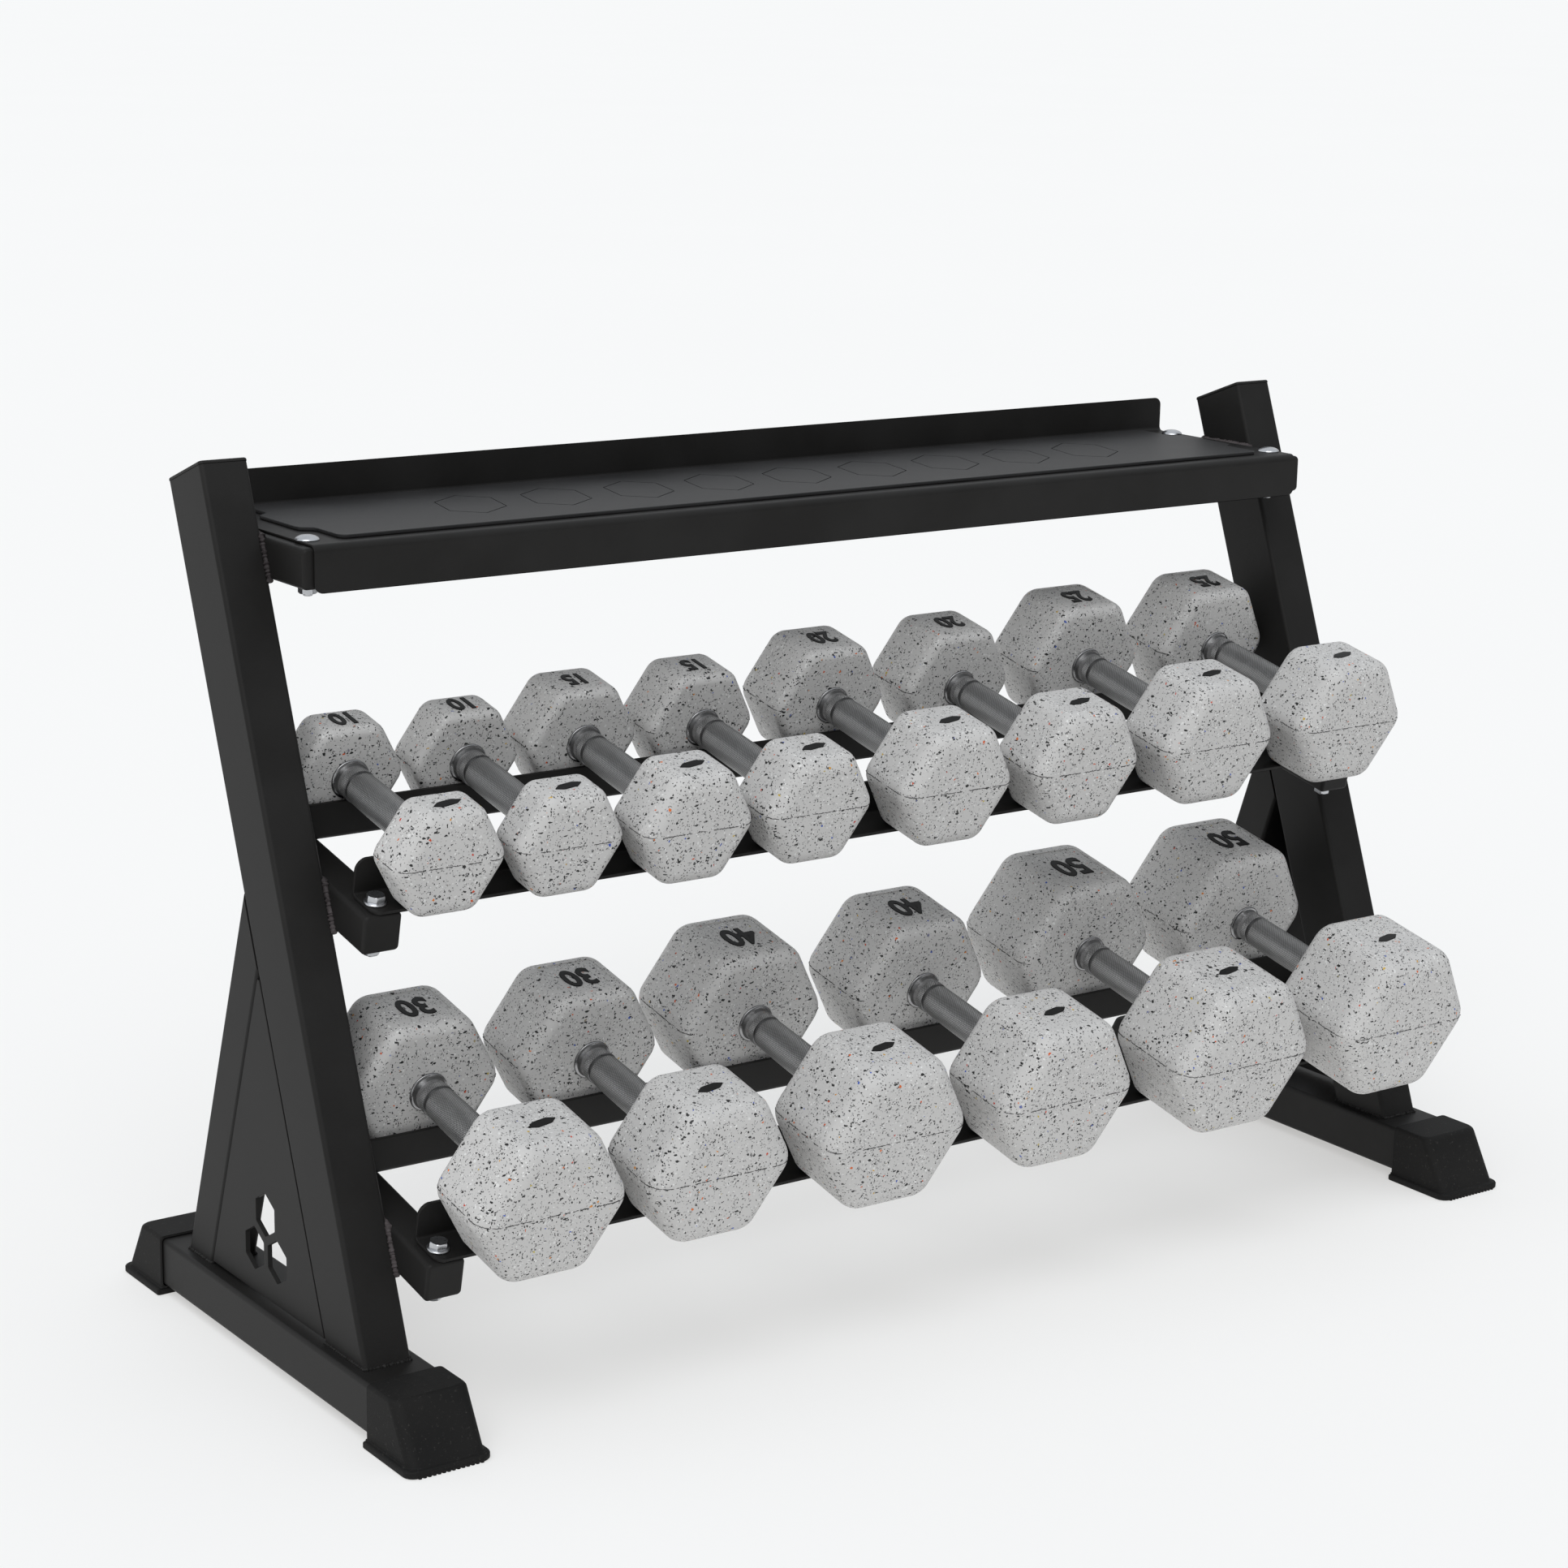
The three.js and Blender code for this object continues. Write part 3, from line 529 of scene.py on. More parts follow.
def upright_place(x):
    return shift(x, FOOT_Y, BASE_TOP) @ Matrix.Rotation(-LEAN, 4, "X")


def brace_place(x):
    return shift(x, BRACE_Y, BASE_TOP) @ Matrix.Rotation(BRACE_LEAN, 4, "X")


def make_upright():
    bm = bmesh.new()
    section = [(x, y + UPRIGHT_DEPTH / 2)
               for x, y in rounded(UPRIGHT_WIDTH, UPRIGHT_DEPTH, TUBE_CORNER)]
    foot = [(x, y, y * math.tan(LEAN)) for x, y in section]
    loft(bm, [foot, [(x, y, UPRIGHT_LENGTH) for x, y in section]])
    return bm


def make_brace():
    """Cut level at its foot, and along the back of the upright at its head."""
    bm = bmesh.new()
    section = [(x, y - BRACE_DEPTH / 2)
               for x, y in rounded(UPRIGHT_WIDTH, BRACE_DEPTH, TUBE_CORNER)]
    foot = [(x, y, -y * math.tan(BRACE_LEAN)) for x, y in section]
    reach = BRACE_Y - FOOT_Y
    head = []
    for x, y in section:
        flat = (reach + y * math.cos(BRACE_LEAN)) * math.cos(LEAN)
        z = flat - y * math.sin(BRACE_LEAN) * math.sin(LEAN) - UPRIGHT_DEPTH
        head.append((x, y, z / math.sin(BRACE_LEAN + LEAN)))
    loft(bm, [foot, head])
    return bm


def make_cap():
    """A plug inside the tube and a cover over its end."""
    bm = bmesh.new()
    beam(bm, UPRIGHT_WIDTH - 5, UPRIGHT_DEPTH - 5, 3, UPRIGHT_LENGTH - 10, UPRIGHT_LENGTH + 0.4)
    beam(bm, UPRIGHT_WIDTH + 0.6, UPRIGHT_DEPTH + 0.6, TUBE_CORNER, UPRIGHT_LENGTH + 0.3,
         UPRIGHT_LENGTH + 3, 0.4, 1.7)
    bmesh.ops.translate(bm, verts=bm.verts, vec=(0, UPRIGHT_DEPTH / 2, 0))
    return bm


def hexagon_outline(y, z, radius, turn=30, steps=4, fillet=1.6):
    """A hexagon with small corner fillets."""
    points = []
    inner = radius - fillet / math.cos(rad(30))
    for i in range(6):
        a = rad(60 * i + turn)
        for k in range(steps + 1):
            b = a + rad(60) * (k / steps - 0.5)
            points.append((y + inner * math.cos(a) + fillet * math.cos(b),
                           z + inner * math.sin(a) + fillet * math.sin(b)))
    return points


def make_gusset():
    """The plate between upright and brace, with three hexagonal holes."""
    z0 = BASE_TOP + GUSSET_BASE_GAP
    back = FOOT_Y + (UPRIGHT_DEPTH + GUSSET_SEAM) / math.cos(LEAN)
    front = BRACE_Y - (BRACE_DEPTH + GUSSET_SEAM) / math.cos(BRACE_LEAN)

    def front_at(z):
        return back + math.tan(LEAN) * (z - BASE_TOP)

    def rear_at(z):
        return front - math.tan(BRACE_LEAN) * (z - BASE_TOP)

    z1 = BASE_TOP + (front - back) / (math.tan(LEAN) + math.tan(BRACE_LEAN)) - 5
    hole_z = z0 + CUTOUT_LOW
    middle = (front_at(hole_z) + rear_at(hole_z)) / 2
    pitch = math.sqrt(3) * CUTOUT_RADIUS + CUTOUT_RIB
    outlines = [
        [(front_at(z0), z0), (rear_at(z0), z0), (rear_at(z1), z1), (front_at(z1), z1)],
        hexagon_outline(middle - pitch / 2, hole_z, CUTOUT_RADIUS),
        hexagon_outline(middle + pitch / 2, hole_z, CUTOUT_RADIUS),
        hexagon_outline(middle, hole_z + pitch * math.sin(rad(60)), CUTOUT_RADIUS),
    ]
    return plate(outlines, GUSSET_THICK, 0.4)


def make_foot():
    """Rubber boot for the front end: bottom lip, slanted toe and a mouth for the tube."""
    bm = bmesh.new()
    slant = (FOOT_TIP - FLANGE - FOOT_TOP_TIP) / (FOOT_HEIGHT - 2 - FLANGE_HEIGHT)

    def ring(z, tip, half, inset):
        tip -= inset
        half -= inset
        front, back = 9.0, 1.5
        corners = ((1, -1, -90, front), (1, 1, 0, back), (-1, 1, 90, back), (-1, -1, 180, front))
        points = []
        for cx, cy, begin, r in corners:
            edge = -FOOT_MOUTH - min(inset, 1.2) if cy > 0 else -tip
            for k in range(7):
                a = rad(begin + 90 * k / 6)
                points.append((cx * (half - r) + r * math.cos(a),
                               edge - cy * r + r * math.sin(a), z))
        return points

    def wall(z, inset):
        return ring(z, FOOT_TIP - FLANGE - slant * (z - FLANGE_HEIGHT), FOOT_WIDTH / 2, inset)

    rings = []
    lip = FOOT_WIDTH / 2 + FLANGE
    for z, inset in ((0, 1.3), (0.4, 0.5), (1.2, 0), (4.6, 0), (5.5, 0.5), (6, 1.4)):
        rings.append(ring(z, FOOT_TIP, lip, inset))
    for z, inset in ((6.1, -0.8), (6.5, -0.3), (7.2, 0), (20, 0), (34, 0), (47.3, 0)):
        rings.append(wall(z, inset))
    for k in range(1, 6):
        a = rad(18 * k)
        z = FOOT_HEIGHT - FOOT_TOP_ROUND * (1 - math.sin(a))
        rings.append(wall(z, FOOT_TOP_ROUND * (1 - math.cos(a))))
    loft(bm, rings)
    pocket = bmesh.new()
    beam(pocket, BASE_WIDTH + 2, BASE_HEIGHT + 2, TUBE_CORNER, 0, 80)
    pocket.transform(shift(0, -BASE_HALF - 1, BASE_BOTTOM + BASE_HEIGHT / 2) @ ALONG_Y)
    bm = carve(bm, pocket)
    for k in range(FOOT_TEETH):
        before = len(bm.verts)
        beam(bm, TOOTH, TOOTH, 1.4, 0.05, 2.6, 0, 0.8, 2)
        tooth = list(bm.verts)[before:]
        along = (k - (FOOT_TEETH - 1) / 2) * TOOTH_PITCH
        bmesh.ops.translate(bm, verts=tooth, vec=(along, -FOOT_TIP + 0.9, 0))
    return bm


def make_arm(length):
    bm = bmesh.new()
    beam(bm, ARM, ARM, ARM_CORNER, 0, length, ARM_END_ROUND, ARM_END_ROUND)
    bm.transform(shift(0, 0, -ARM / 2) @ ALONG_Y)
    return bm


def weld_loop(bm, rng, corners, radius):
    sweep(bm, [Vector(c) for c in corners], radius, rng, closed=True)


def make_hex_bolt(shank):
    """M8 flange bolt: a grooved tip, a plain shank and a hexagon head, seated at z = 0."""
    bm = bmesh.new()
    thread = [(3.2, -shank), (3.9, -shank + 0.8)]
    z = -shank + 1.3
    while z < -shank + 9:
        thread += [(4.0, z), (3.55, z + 0.6)]
        z += 1.25
    thread += [(3.95, -shank + 10), (3.95, 0.2)]
    head = [(8.3, 0), (8.8, 0.4), (8.8, 1.0), (8.3, 1.7), (7.2, 2.2, 6.4), (7.5, 2.6, 6.5),
            (7.5, 6.1, 6.5), (7.2, 6.7, 6.5), (6.6, 7.1, 6.5), (5.0, 7.1), (4.6, 6.9)]
    turned(bm, thread + head, 48)
    return bm


def make_nut():
    """M8 nut hanging from z = 0, with its bore."""
    bm = bmesh.new()
    turned(bm, [(6.5, 0, 6.5), (7.1, -0.5, 6.5), (7.5, -0.9, 6.5), (7.5, -5.6, 6.5),
                (7.1, -6.1, 6.5), (6.5, -6.5, 6.5), (4.6, -6.5), (4.1, -6.0), (4.1, -0.5),
                (4.6, 0)], 48, closed=True)
    return bm


def make_button_bolt(shank):
    """M8 bolt with a low round head, seated at z = 0."""
    bm = bmesh.new()
    turned(bm, [(3.2, -shank), (3.9, -shank + 0.8), (3.9, -0.2), (9.2, 0), (9.6, 0.35), (9.3, 1.0),
                (8.4, 1.9), (6.8, 2.8), (4.8, 3.5), (2.4, 3.85), (0.4, 3.95)], 40)
    return bm


def build_side(name, side):
    x = side * FRAME_X
    rng = random.Random(100 + side)
    bm = bmesh.new()
    beam(bm, BASE_WIDTH, BASE_HEIGHT, TUBE_CORNER, -BASE_HALF, BASE_HALF, 0.8, 0.8, 2)
    piece(f"{name}_base_tube_detail", bm, shift(x, 0, BASE_BOTTOM + BASE_HEIGHT / 2) @ ALONG_Y,
          FRAME_BLACK, nodes=[f"{name}_base_tube"])
    piece(f"{name}_upright_detail", make_upright(), upright_place(x), FRAME_BLACK,
          nodes=[f"{name}_upright"])
    piece(f"{name}_upright_cap_detail", make_cap(), upright_place(x), FRAME_BLACK,
          nodes=[f"{name}_upright_cap"])
    piece(f"{name}_rear_brace_detail", make_brace(), brace_place(x), FRAME_BLACK,
          nodes=[f"{name}_rear_brace"])
    across = Matrix(((0, 0, 1, 0), (1, 0, 0, 0), (0, 1, 0, 0), (0, 0, 0, 1)))
    piece(f"{name}_gusset_plate_detail", make_gusset(),
          shift(x + side * (UPRIGHT_WIDTH / 2 - GUSSET_INSET - GUSSET_THICK / 2), 0, 0) @ across,
          FRAME_BLACK,
          nodes=[f"{name}_gusset_plate"])
    for end, turn in (("front", 0), ("rear", 180)):
        piece(f"{name}_{end}_foot_detail", make_foot(),
              shift(x) @ Matrix.Rotation(rad(turn), 4, "Z"),
              FOOT_RUBBER, slot="foot_rubber", nodes=[f"{name}_{end}_foot"])
    arm_x = side * ARM_X
    piece(f"{name}_tray_arm_detail", make_arm(TRAY_ARM_LENGTH),
          shift(arm_x, TRAY_ARM_Y, TRAY_ARM_TOP), FRAME_BLACK, nodes=[f"{name}_tray_arm"])
    for tier in TIERS:
        piece(f"{name}_{tier}_arm_detail", make_arm(TIER_ARM_LENGTH), on_tier(tier, arm_x, 0, 0),
              FRAME_BLACK, nodes=[f"{name}_{tier}_arm"])

    # bare beads where each arm meets the inner face of the upright
    inner = side * (FRAME_X - UPRIGHT_WIDTH / 2 - 0.2)
    depth = UPRIGHT_DEPTH / math.cos(LEAN)
    joints = [(f"{tier}_arm", TIERS[tier][0], TIERS[tier][1], SLOPE, TIER_ARM_LENGTH)
              for tier in TIERS]
    joints.append(("tray_arm", TRAY_ARM_Y, TRAY_ARM_TOP, 0.0, TRAY_ARM_LENGTH))
    for label, y0, z0, slope, length in joints:
        bm = bmesh.new()
        corners = []
        for back, h in ((0, -ARM), (0, 0), (1, 0), (1, -ARM)):
            # s where the arm's edge at height h crosses the upright's front or rear face
            base_y = y0 - math.sin(slope) * h
            base_z = z0 + math.cos(slope) * h
            face = FOOT_Y + math.tan(LEAN) * (base_z - BASE_TOP) + back * depth
            s = (face - base_y) / (math.cos(slope) - math.tan(LEAN) * math.sin(slope))
            s = min(max(s, 2), length - 2)
            corners.append((inner, base_y + math.cos(slope) * s, base_z + math.sin(slope) * s))
        weld_loop(bm, rng, corners, ARM_BEAD)
        piece(f"{name}_{label}_weld", bm, shift(), WELD)

    # painted beads round the feet of upright and brace, on top of the base tube
    bm = bmesh.new()
    half = UPRIGHT_WIDTH / 2 - 1
    brace_front = BRACE_Y - BRACE_DEPTH / math.cos(BRACE_LEAN)
    for y0, y1 in ((FOOT_Y, FOOT_Y + depth), (brace_front, BRACE_Y)):
        ring = [(x - half, y0 + 1, BASE_TOP), (x + half, y0 + 1, BASE_TOP),
                (x + half, y1 - 1, BASE_TOP), (x - half, y1 - 1, BASE_TOP)]
        weld_loop(bm, rng, ring, FRAME_BEAD)
    piece(f"{name}_base_welds", bm, shift(), FRAME_BLACK)


for side_name, side_sign in SIDES:
    build_side(side_name, side_sign)

# ---- fasteners ------------------------------------------------------------------

BELOW_ARM = SEAT_GAP + NUT_HEIGHT + SHANK_PAST_NUT
RAIL_SHANK = RAIL_TOP + SEAT_GAP + ARM + BELOW_ARM
TRAY_SHANK = TRAY_SHEET + 2 * SEAT_GAP + ARM + BELOW_ARM
for name, side in SIDES:
    x = side * ARM_X
    turn = 17.0                  # each hexagon stands at another angle, in degrees
    for tier in TIERS:
        for spot, s, shank in (("front", RAIL_BOLT_S[0], RAIL_SHANK),
                               ("rear", RAIL_BOLT_S[1], BLIND_SHANK)):
            turn += 23
            node_name = f"{tier}_{spot}_bolt_{name}"
            piece(f"{node_name}_detail", make_hex_bolt(shank),
                  on_tier(tier, x, s, RAIL_TOP) @ Matrix.Rotation(rad(turn), 4, "Z"),
                  ZINC, slot="zinc_steel", nodes=[node_name], sharp=30)
        node_name = f"{tier}_front_nut_{name}"
        nut_place = on_tier(tier, x, RAIL_BOLT_S[0], -ARM - 0.1)
        piece(f"{node_name}_detail", make_nut(),
              nut_place @ Matrix.Rotation(rad(turn + 11), 4, "Z"),
              ZINC, slot="zinc_steel", nodes=[node_name], sharp=30)
    for spot, y, shank in (("front", TRAY_BOLTS[0], TRAY_SHANK),
                           ("rear", TRAY_BOLTS[1], BLIND_SHANK)):
        node_name = f"tray_{spot}_bolt_{name}"
        piece(f"{node_name}_detail", make_button_bolt(shank), shift(x, y, PAN_TOP + 0.1),
              ZINC, slot="zinc_steel", nodes=[node_name], sharp=50)
    node_name = f"tray_front_nut_{name}"
    piece(f"{node_name}_detail", make_nut(), shift(x, TRAY_BOLTS[0], TRAY_ARM_TOP - ARM - 0.1),
          ZINC, slot="zinc_steel", nodes=[node_name], sharp=30)

# ---- tray, mat and rails --------------------------------------------------------

bm = bmesh.new()
sheet(bm, ((TRAY_FRONT + 1, PAN_TOP - TRAY_APRON), (TRAY_FRONT + 1, PAN_TOP - 1),
           (TRAY_BACK - 1, PAN_TOP - 1), (TRAY_BACK - 1, PAN_TOP + TRAY_LIP)),
      TRAY_SHEET, TRAY_BEND, TRAY_LENGTH / 2, 7, 7)
piece("top_tray_detail", bm, shift(), FRAME_BLACK, nodes=["top_tray"], sharp=50)


def make_mat():
    """The mat is narrower at its four corners, which leaves the tray's bolts free."""
    inner = MAT_HALF - MAT_NOTCH
    step = MAT_FRONT + MAT_NOTCH_LENGTH
    corner = []
    for k in range(7):
        a = rad(-90 + 15 * k)
        corner.append((inner - MAT_CORNER * (1 - math.cos(a)),
                       MAT_FRONT + MAT_CORNER * (1 + math.sin(a))))
    corner += [(inner, step), (inner + 1.2, step + 5), (MAT_HALF - 1.2, step + 11),
               (MAT_HALF, step + 16)]
    mirror = [(px, MAT_FRONT + MAT_BACK - py) for px, py in reversed(corner)]
    right = corner + mirror
    outline = right + [(-px, py) for px, py in reversed(right)]
    bm = plate([outline], MAT_THICK, 0.7)
    # engraved row of slanted hexagon outlines
    middle = (MAT_FRONT + MAT_BACK) / 2
    grooves = []
    for k in range(GROOVES):
        along = (k - (GROOVES - 1) / 2) * GROOVE_PITCH + 12
        for radius in GROOVE_RADII:
            hexagon = hexagon_outline(0, 0, radius, 30, fillet=3)
            grooves.append([(0.62 * hx + 0.22 * hy + along, 0.92 * hy + middle)
                            for hx, hy in hexagon])
    cutter = plate(grooves, 2, 0.05)
    bmesh.ops.translate(cutter, verts=cutter.verts, vec=(0, 0, MAT_THICK / 2 + 1 - GROOVE_DEPTH))
    return carve(bm, cutter)


piece("tray_mat_detail", make_mat(), shift(0, 0, PAN_TOP + 0.1 + MAT_THICK / 2), MAT_RUBBER,
      slot="mat_rubber", nodes=["tray_mat"], sharp=50)


def make_rail():
    made = bmesh.new()
    sheet(made, ((0, 1.5), (RAIL_LEG - 1.5, 1.5), (RAIL_LEG - 1.5, RAIL_UPRIGHT)),
          RAIL_SHEET, RAIL_BEND, RAIL_LENGTH / 2, 8, 10)
    return made


for tier in TIERS:
    piece(f"{tier}_front_rail_detail", make_rail(), on_tier(tier, 0, 0, RAIL_GAP), FRAME_BLACK,
          nodes=[f"{tier}_front_rail"], sharp=50)
    turned_round = shift(0, RAIL_LEG, 0) @ Matrix.Rotation(rad(180), 4, "Z")
    piece(f"{tier}_rear_rail_detail", make_rail(),
          on_tier(tier, 0, REAR_RAIL_S, RAIL_GAP) @ turned_round,
          FRAME_BLACK, nodes=[f"{tier}_rear_rail"], sharp=50)

# ---- dumbbells ------------------------------------------------------------------

def half_flats(width):
    """Half the width across the flats of a head that is this wide across its points."""
    corner = HEAD_ROUNDING * width / 2
    return math.sqrt(3) / 2 * (width / 2 - corner) + corner


def hex_ring(width, y, inset, steps=8):
    corner = HEAD_ROUNDING * width / 2
    core = width / 2 - corner
    ring = []
    for i in range(6):
        a = rad(60 * i)
        for k in range(steps + 1):
            b = a + rad(60) * (k / steps - 0.5)
            ring.append((core * math.cos(a) + (corner - inset) * math.cos(b), y,
                         core * math.sin(a) + (corner - inset) * math.sin(b)))
    return ring


def head_rings(width, length, steps=9):
    """Rings of a head whose inner face is at y = 0 and outer face at y = -length."""
    outer, inner = HEAD_OUTER * width / 2, HEAD_INNER * width / 2
    rings = []
    for k in range(steps + 1):
        a = rad(90 * k / steps)
        rings.append((-length + outer * (1 - math.cos(a)), outer * (1 - math.sin(a))))
    for k in range(5, -1, -1):
        a = rad(18 * k)
        rings.append((-inner * (1 - math.cos(a)), inner * (1 - math.sin(a))))
    return rings


def make_head(width, length, rng, panel=False):
    """A rounded hexagonal head with its mould line and, if asked, a sunk panel on top."""
    bm = bmesh.new()
    rows = head_rings(width, length)
    loft(bm, [hex_ring(width, y, inset) for y, inset in rows])
    if panel:
        cutter = bmesh.new()
        flat = width / 2 * (1 - HEAD_ROUNDING)
        top = half_flats(width)
        beam(cutter, flat + 6, PANEL_LENGTH * length, 4, top - PANEL_DEPTH, top + 3)
        bmesh.ops.translate(cutter, verts=cutter.verts, vec=(0, -0.5 * length, 0))
        bm = carve(bm, cutter)
    # mould line at mid height, round the points and across the outer face
    half = width / 2
    path = [Vector((-(half - inset), y, 0)) for y, inset in reversed(rows)]
    across = half - rows[0][1]
    path += [Vector((across * share, -length, 0)) for share in (-0.6, -0.2, 0.2, 0.6)]
    path += [Vector((half - inset, y, 0)) for y, inset in rows]
    dense = []
    for a, b in zip(path, path[1:]):
        count = max(1, int((b - a).length / 2))
        dense += [a.lerp(b, k / count) for k in range(count)]
    index = 2
    while index < len(dense) - 4:
        span = rng.randint(3, 14)
        run = dense[index:index + span]
        if len(run) > 2:
            before = len(bm.faces)
            sweep(bm, run, MOULD_LINE, rng, closed=False, spacing=2, sides=6, wobble=0.3)
            bm.faces.ensure_lookup_table()
            for face in bm.faces[before:]:
                face.material_index = 1
        index += span + rng.randint(0, 2)
    return bm


def make_handle():
    """Turned along Y from the front head to the rear one, in local y = 0 to its length."""
    plain, bright, rough = 0, 1, 2               # order of the handle's materials
    # collar at a head, neck, knurled ring, groove: radius, place and material up to the next
    end = [(12, -3, plain), (16.3, -3, plain), (16.5, 0.3, plain), (16.2, 0.9, bright),
           (15.6, 1.3, bright), (14.4, 1.7, plain), (13.1, 4.6, bright), (12.5, 6.8, bright),
           (12.5, 9.2, plain), (13.3, 9.6, plain), (13.9, 10.2, rough), (14.0, 10.8, rough),
           (14.0, 15.9, rough), (13.8, 16.5, plain), (12.9, 16.9, plain), (12.8, 18.6, plain),
           (13.1, 19.2, plain), (13.5, 19.8, rough)]
    grip = []
    for k in range(1, 16):
        t = k / 16
        grip.append((13.55 + 0.45 * math.sin(math.pi * t), 20 + (HANDLE_LENGTH - 40) * t, rough))
    kinds_back = [kind for _, _, kind in reversed(end[:-1])] + [plain]
    far_end = [(r, HANDLE_LENGTH - y, kind) for (r, y, _), kind in zip(reversed(end), kinds_back)]
    profile = end + grip + far_end
    bm = bmesh.new()
    faces = turned(bm, [(r, y) for r, y, _ in profile], HANDLE_SIDES)
    uv = bm.loops.layers.uv.new("UVMap")
    for row in range(len(profile) - 1):
        for column in range(HANDLE_SIDES):
            face = faces[row * HANDLE_SIDES + column]
            face.material_index = profile[row][2]
            for loop in face.loops:
                near = loop.vert in (face.verts[0], face.verts[3])
                around = (column if near else column + 1) / HANDLE_SIDES
                loop[uv].uv = (around * KNURL_ROUND, loop.vert.co.z / KNURL_PITCH)
    bm.transform(ALONG_Y)
    return bm


def text(body, tall):
    """Raised bold numerals, narrowed, of that height."""
    curve = bpy.data.curves.new("numeral", "FONT")
    curve.body = body
    curve.size = tall / 0.7
    curve.align_x = "CENTER"
    curve.align_y = "CENTER"
    curve.extrude = 0.7
    curve.offset = 0.035 * tall
    curve.bevel_depth = 0.15
    bm = from_curve(curve)
    bmesh.ops.scale(bm, verts=bm.verts, vec=(0.8, 1, 1))
    return bm


def build_dumbbell(tier, weight, x, hand):
    width, length = WEIGHTS[weight]
    name = f"dumbbell_{weight}_{hand}"
    rng = random.Random(name)
    up = half_flats(width)
    common = {"body": name, "nodes": [name]}
    front = on_tier(tier, x, HEAD_BACK, REST_H) @ shift(0, 0, up)
    rear = on_tier(tier, x, HEAD_BACK + HANDLE_LENGTH, REST_H) @ shift(0, 0, up)
    turned_round = Matrix.Rotation(rad(180), 4, "Z")
    piece(f"{name}_front_head", make_head(width, length, rng), front, (COVER, SEAM),
          slot="dumbbell_cover", **common)
    panel = weight >= PANEL_FROM_WEIGHT
    piece(f"{name}_rear_head", make_head(width, length, rng, panel), rear @ turned_round,
          (COVER, SEAM), slot="dumbbell_cover", **common)
    piece(f"{name}_handle", make_handle(), front, (STEEL, BRIGHT, KNURL), slot="handle_steel",
          **common)
    middle = NUMERAL_PLACE * length
    tall = NUMERAL_HEIGHT[weight]
    level = up - (PANEL_DEPTH if panel else 0)
    piece(f"{name}_numeral", text(str(weight), tall), rear @ shift(0, middle, level) @ turned_round,
          NUMERAL, slot="numeral_black", **common)
    mark = plate([hexagon_outline(0, 0, MARK_RADIUS, 0, fillet=2.4)], MARK_THICK, 0.3)
    bmesh.ops.scale(mark, verts=mark.verts, vec=(1.25, 0.42, 1))
    mark.transform(Matrix.Rotation(MARK_TURN, 4, "Z"))
    piece(f"{name}_front_mark", mark, front @ shift(0, -middle - 4, up), NUMERAL,
          slot="numeral_black", **common)


for tier_name, (_, _, row) in TIERS.items():
    for index, (weight, x) in enumerate(row):
        build_dumbbell(tier_name, weight, x, "right" if index % 2 else "left")

# ---- floor, light and camera ----------------------------------------------------

scene = bpy.context.scene
scene.view_settings.view_transform = "Standard"
scene.view_settings.look = "None"

FLOOR_RADIUS = 150
floor_bm = bmesh.new()
bmesh.ops.create_circle(floor_bm, cap_ends=True, radius=FLOOR_RADIUS, segments=96)
floor_mesh = bpy.data.meshes.new("floor")
floor_bm.to_mesh(floor_mesh)
floor_bm.free()
floor = bpy.data.objects.new("floor", floor_mesh)
scene.collection.objects.link(floor)
paper, paper_tree, paper_shader, paper_place = start("pale_floor", specular=0.0)
paper_shader.inputs["Roughness"].default_value = 1.0
paper_tree.links.new(
    mix(paper_tree, noise(paper_tree, paper_place, 0.6, 2), grey((0.44, 0.445, 0.45)),
        grey((0.45, 0.455, 0.46))),
    paper_shader.inputs["Base Color"],
)
paper_shader.inputs["Emission Color"].default_value = (1.0, 0.99, 0.97, 1)
paper_shader.inputs["Emission Strength"].default_value = 0.49
floor_mesh.materials.append(paper)

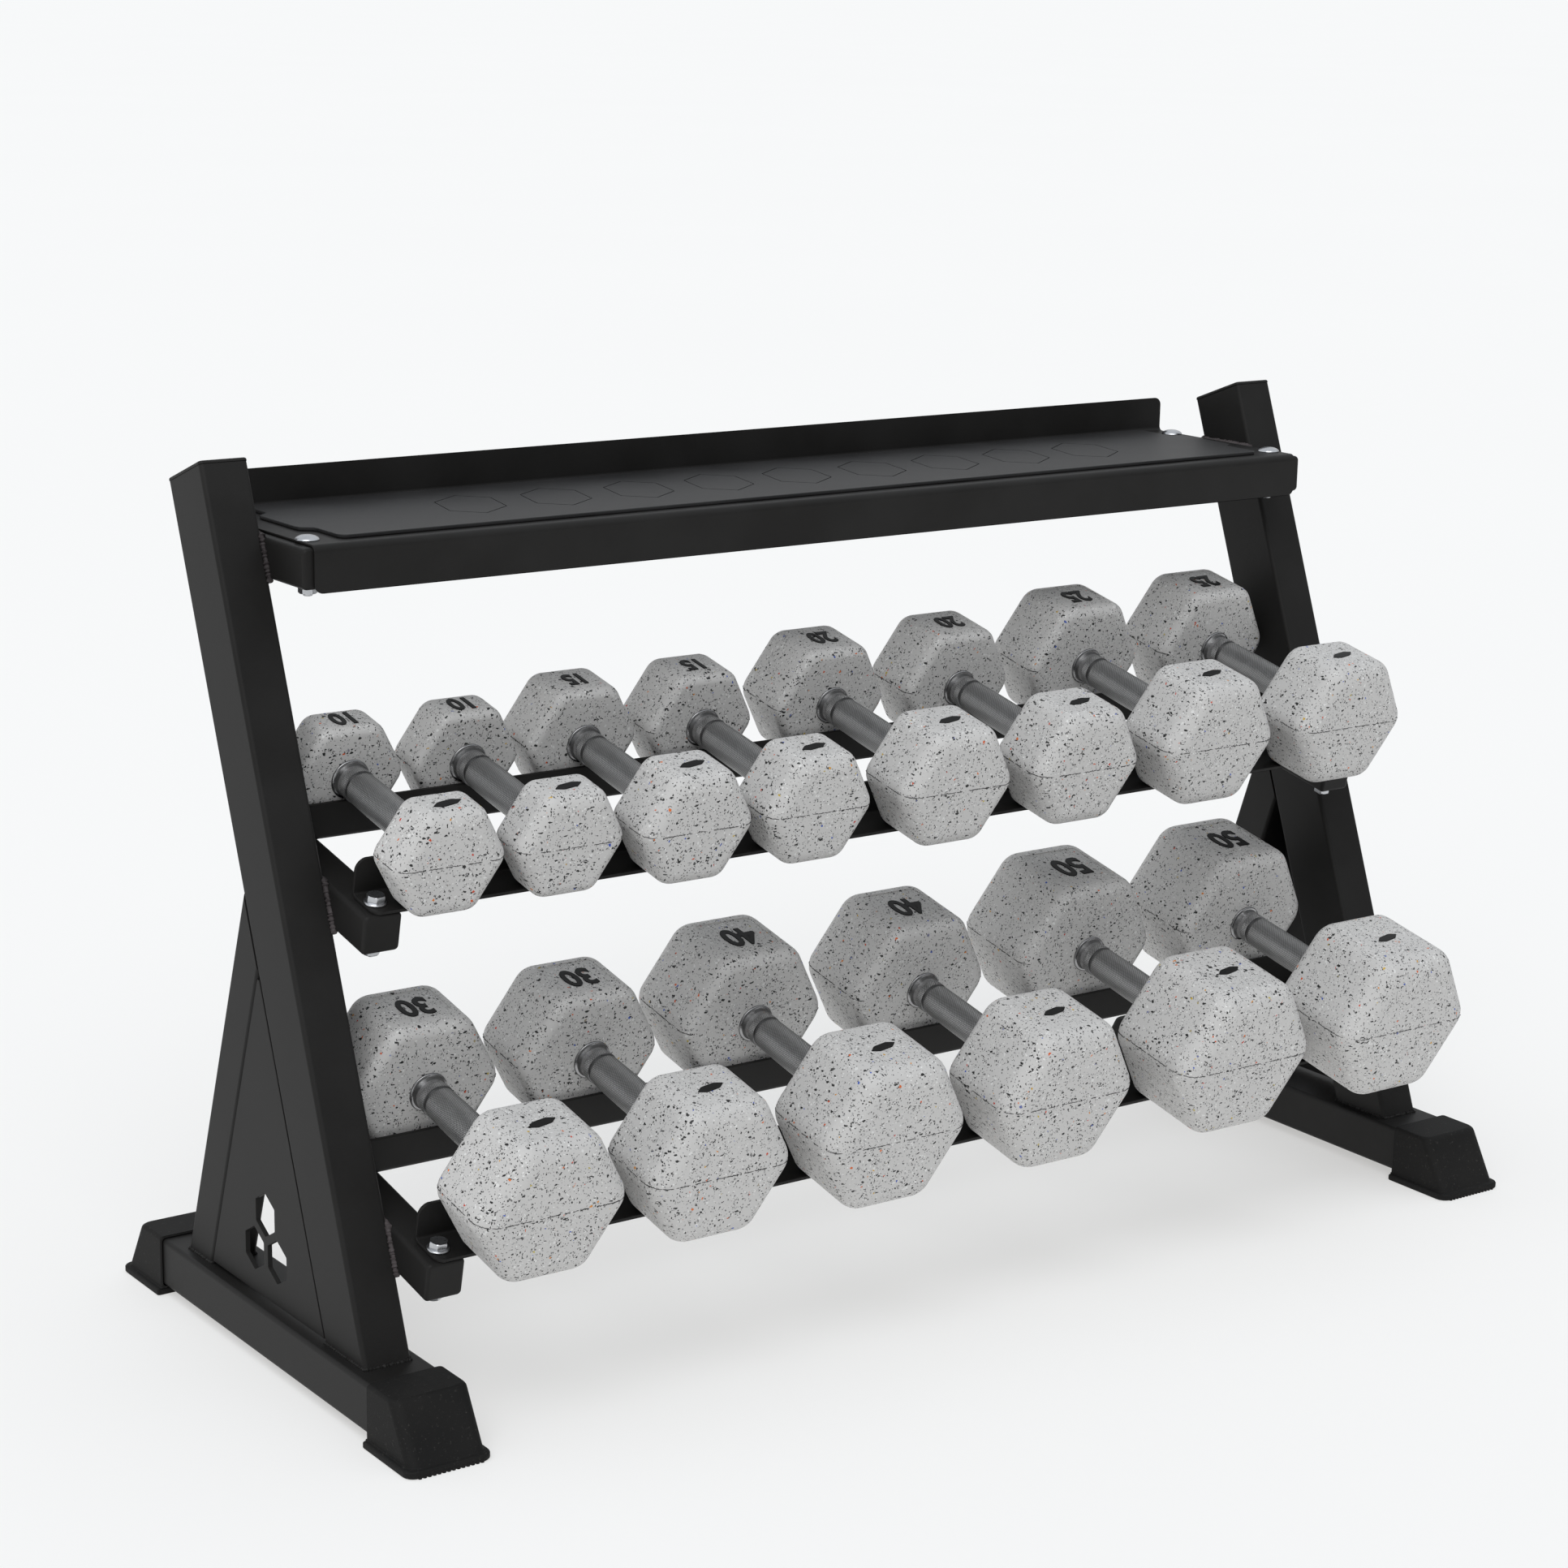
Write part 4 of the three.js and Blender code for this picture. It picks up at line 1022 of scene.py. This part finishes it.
world = bpy.data.worlds.new("studio")
scene.world = world
world.use_nodes = True
sky = world.node_tree
way = node(sky, "ShaderNodeSeparateXYZ", {0: node(sky, "ShaderNodeTexCoord").outputs["Generated"]})


def between(axis, first, last, low_value, high_value):
    """A value that runs from low to high as the sky's direction passes from first to last."""
    return node(sky, "ShaderNodeMapRange", {
        0: way.outputs[axis], 1: first, 2: last, 3: low_value, 4: high_value,
    }).outputs[0]


behind = between(1, -0.2, 0.6, 0.14, 0.85)
beside = between(0, -0.2, -0.9, 0.0, 0.4)
above = between(2, 0.18, 0.5, 0.0, 1.0)
band = maths(sky, "MINIMUM", maths(sky, "ADD", behind, beside), 0.95)
glow = mix(sky, above, mix(sky, band, grey(0.0), grey((1.0, 0.99, 0.98))),
           grey((0.93, 0.965, 1.0)))
back = sky.nodes["Background"]
sky.links.new(glow, back.inputs["Color"])
back.inputs["Strength"].default_value = 0.8

sun_data = bpy.data.lights.new("key", "SUN")
sun_data.energy = 1.2
sun_data.angle = rad(50)
sun = bpy.data.objects.new("key", sun_data)
sun.rotation_mode = "QUATERNION"
sun.rotation_quaternion = Vector((0.42, 0.5, -0.76)).to_track_quat("-Z", "Y")
scene.collection.objects.link(sun)

CAMERA_PLACE, LENS = (-1.6687, -2.2360, 1.0755), 78.4
AZIMUTH, ELEVATION, ROLL = rad(35.41), rad(13.62), rad(0.97)
forward = Vector((
    math.cos(ELEVATION) * math.sin(AZIMUTH),
    math.cos(ELEVATION) * math.cos(AZIMUTH),
    -math.sin(ELEVATION),
))
right = Vector((math.cos(AZIMUTH), -math.sin(AZIMUTH), 0))
level = right.cross(forward)
tilted = right * math.cos(ROLL) + level * math.sin(ROLL)
turn = Matrix((tilted, tilted.cross(forward), -forward)).transposed().to_4x4()
camera_data = bpy.data.cameras.new("camera")
camera_data.sensor_width = 36
camera_data.lens = LENS
camera_data.clip_start = 0.05
camera_data.clip_end = 400
camera = bpy.data.objects.new("camera", camera_data)
camera.matrix_world = Matrix.Translation(CAMERA_PLACE) @ turn
scene.collection.objects.link(camera)
scene.camera = camera
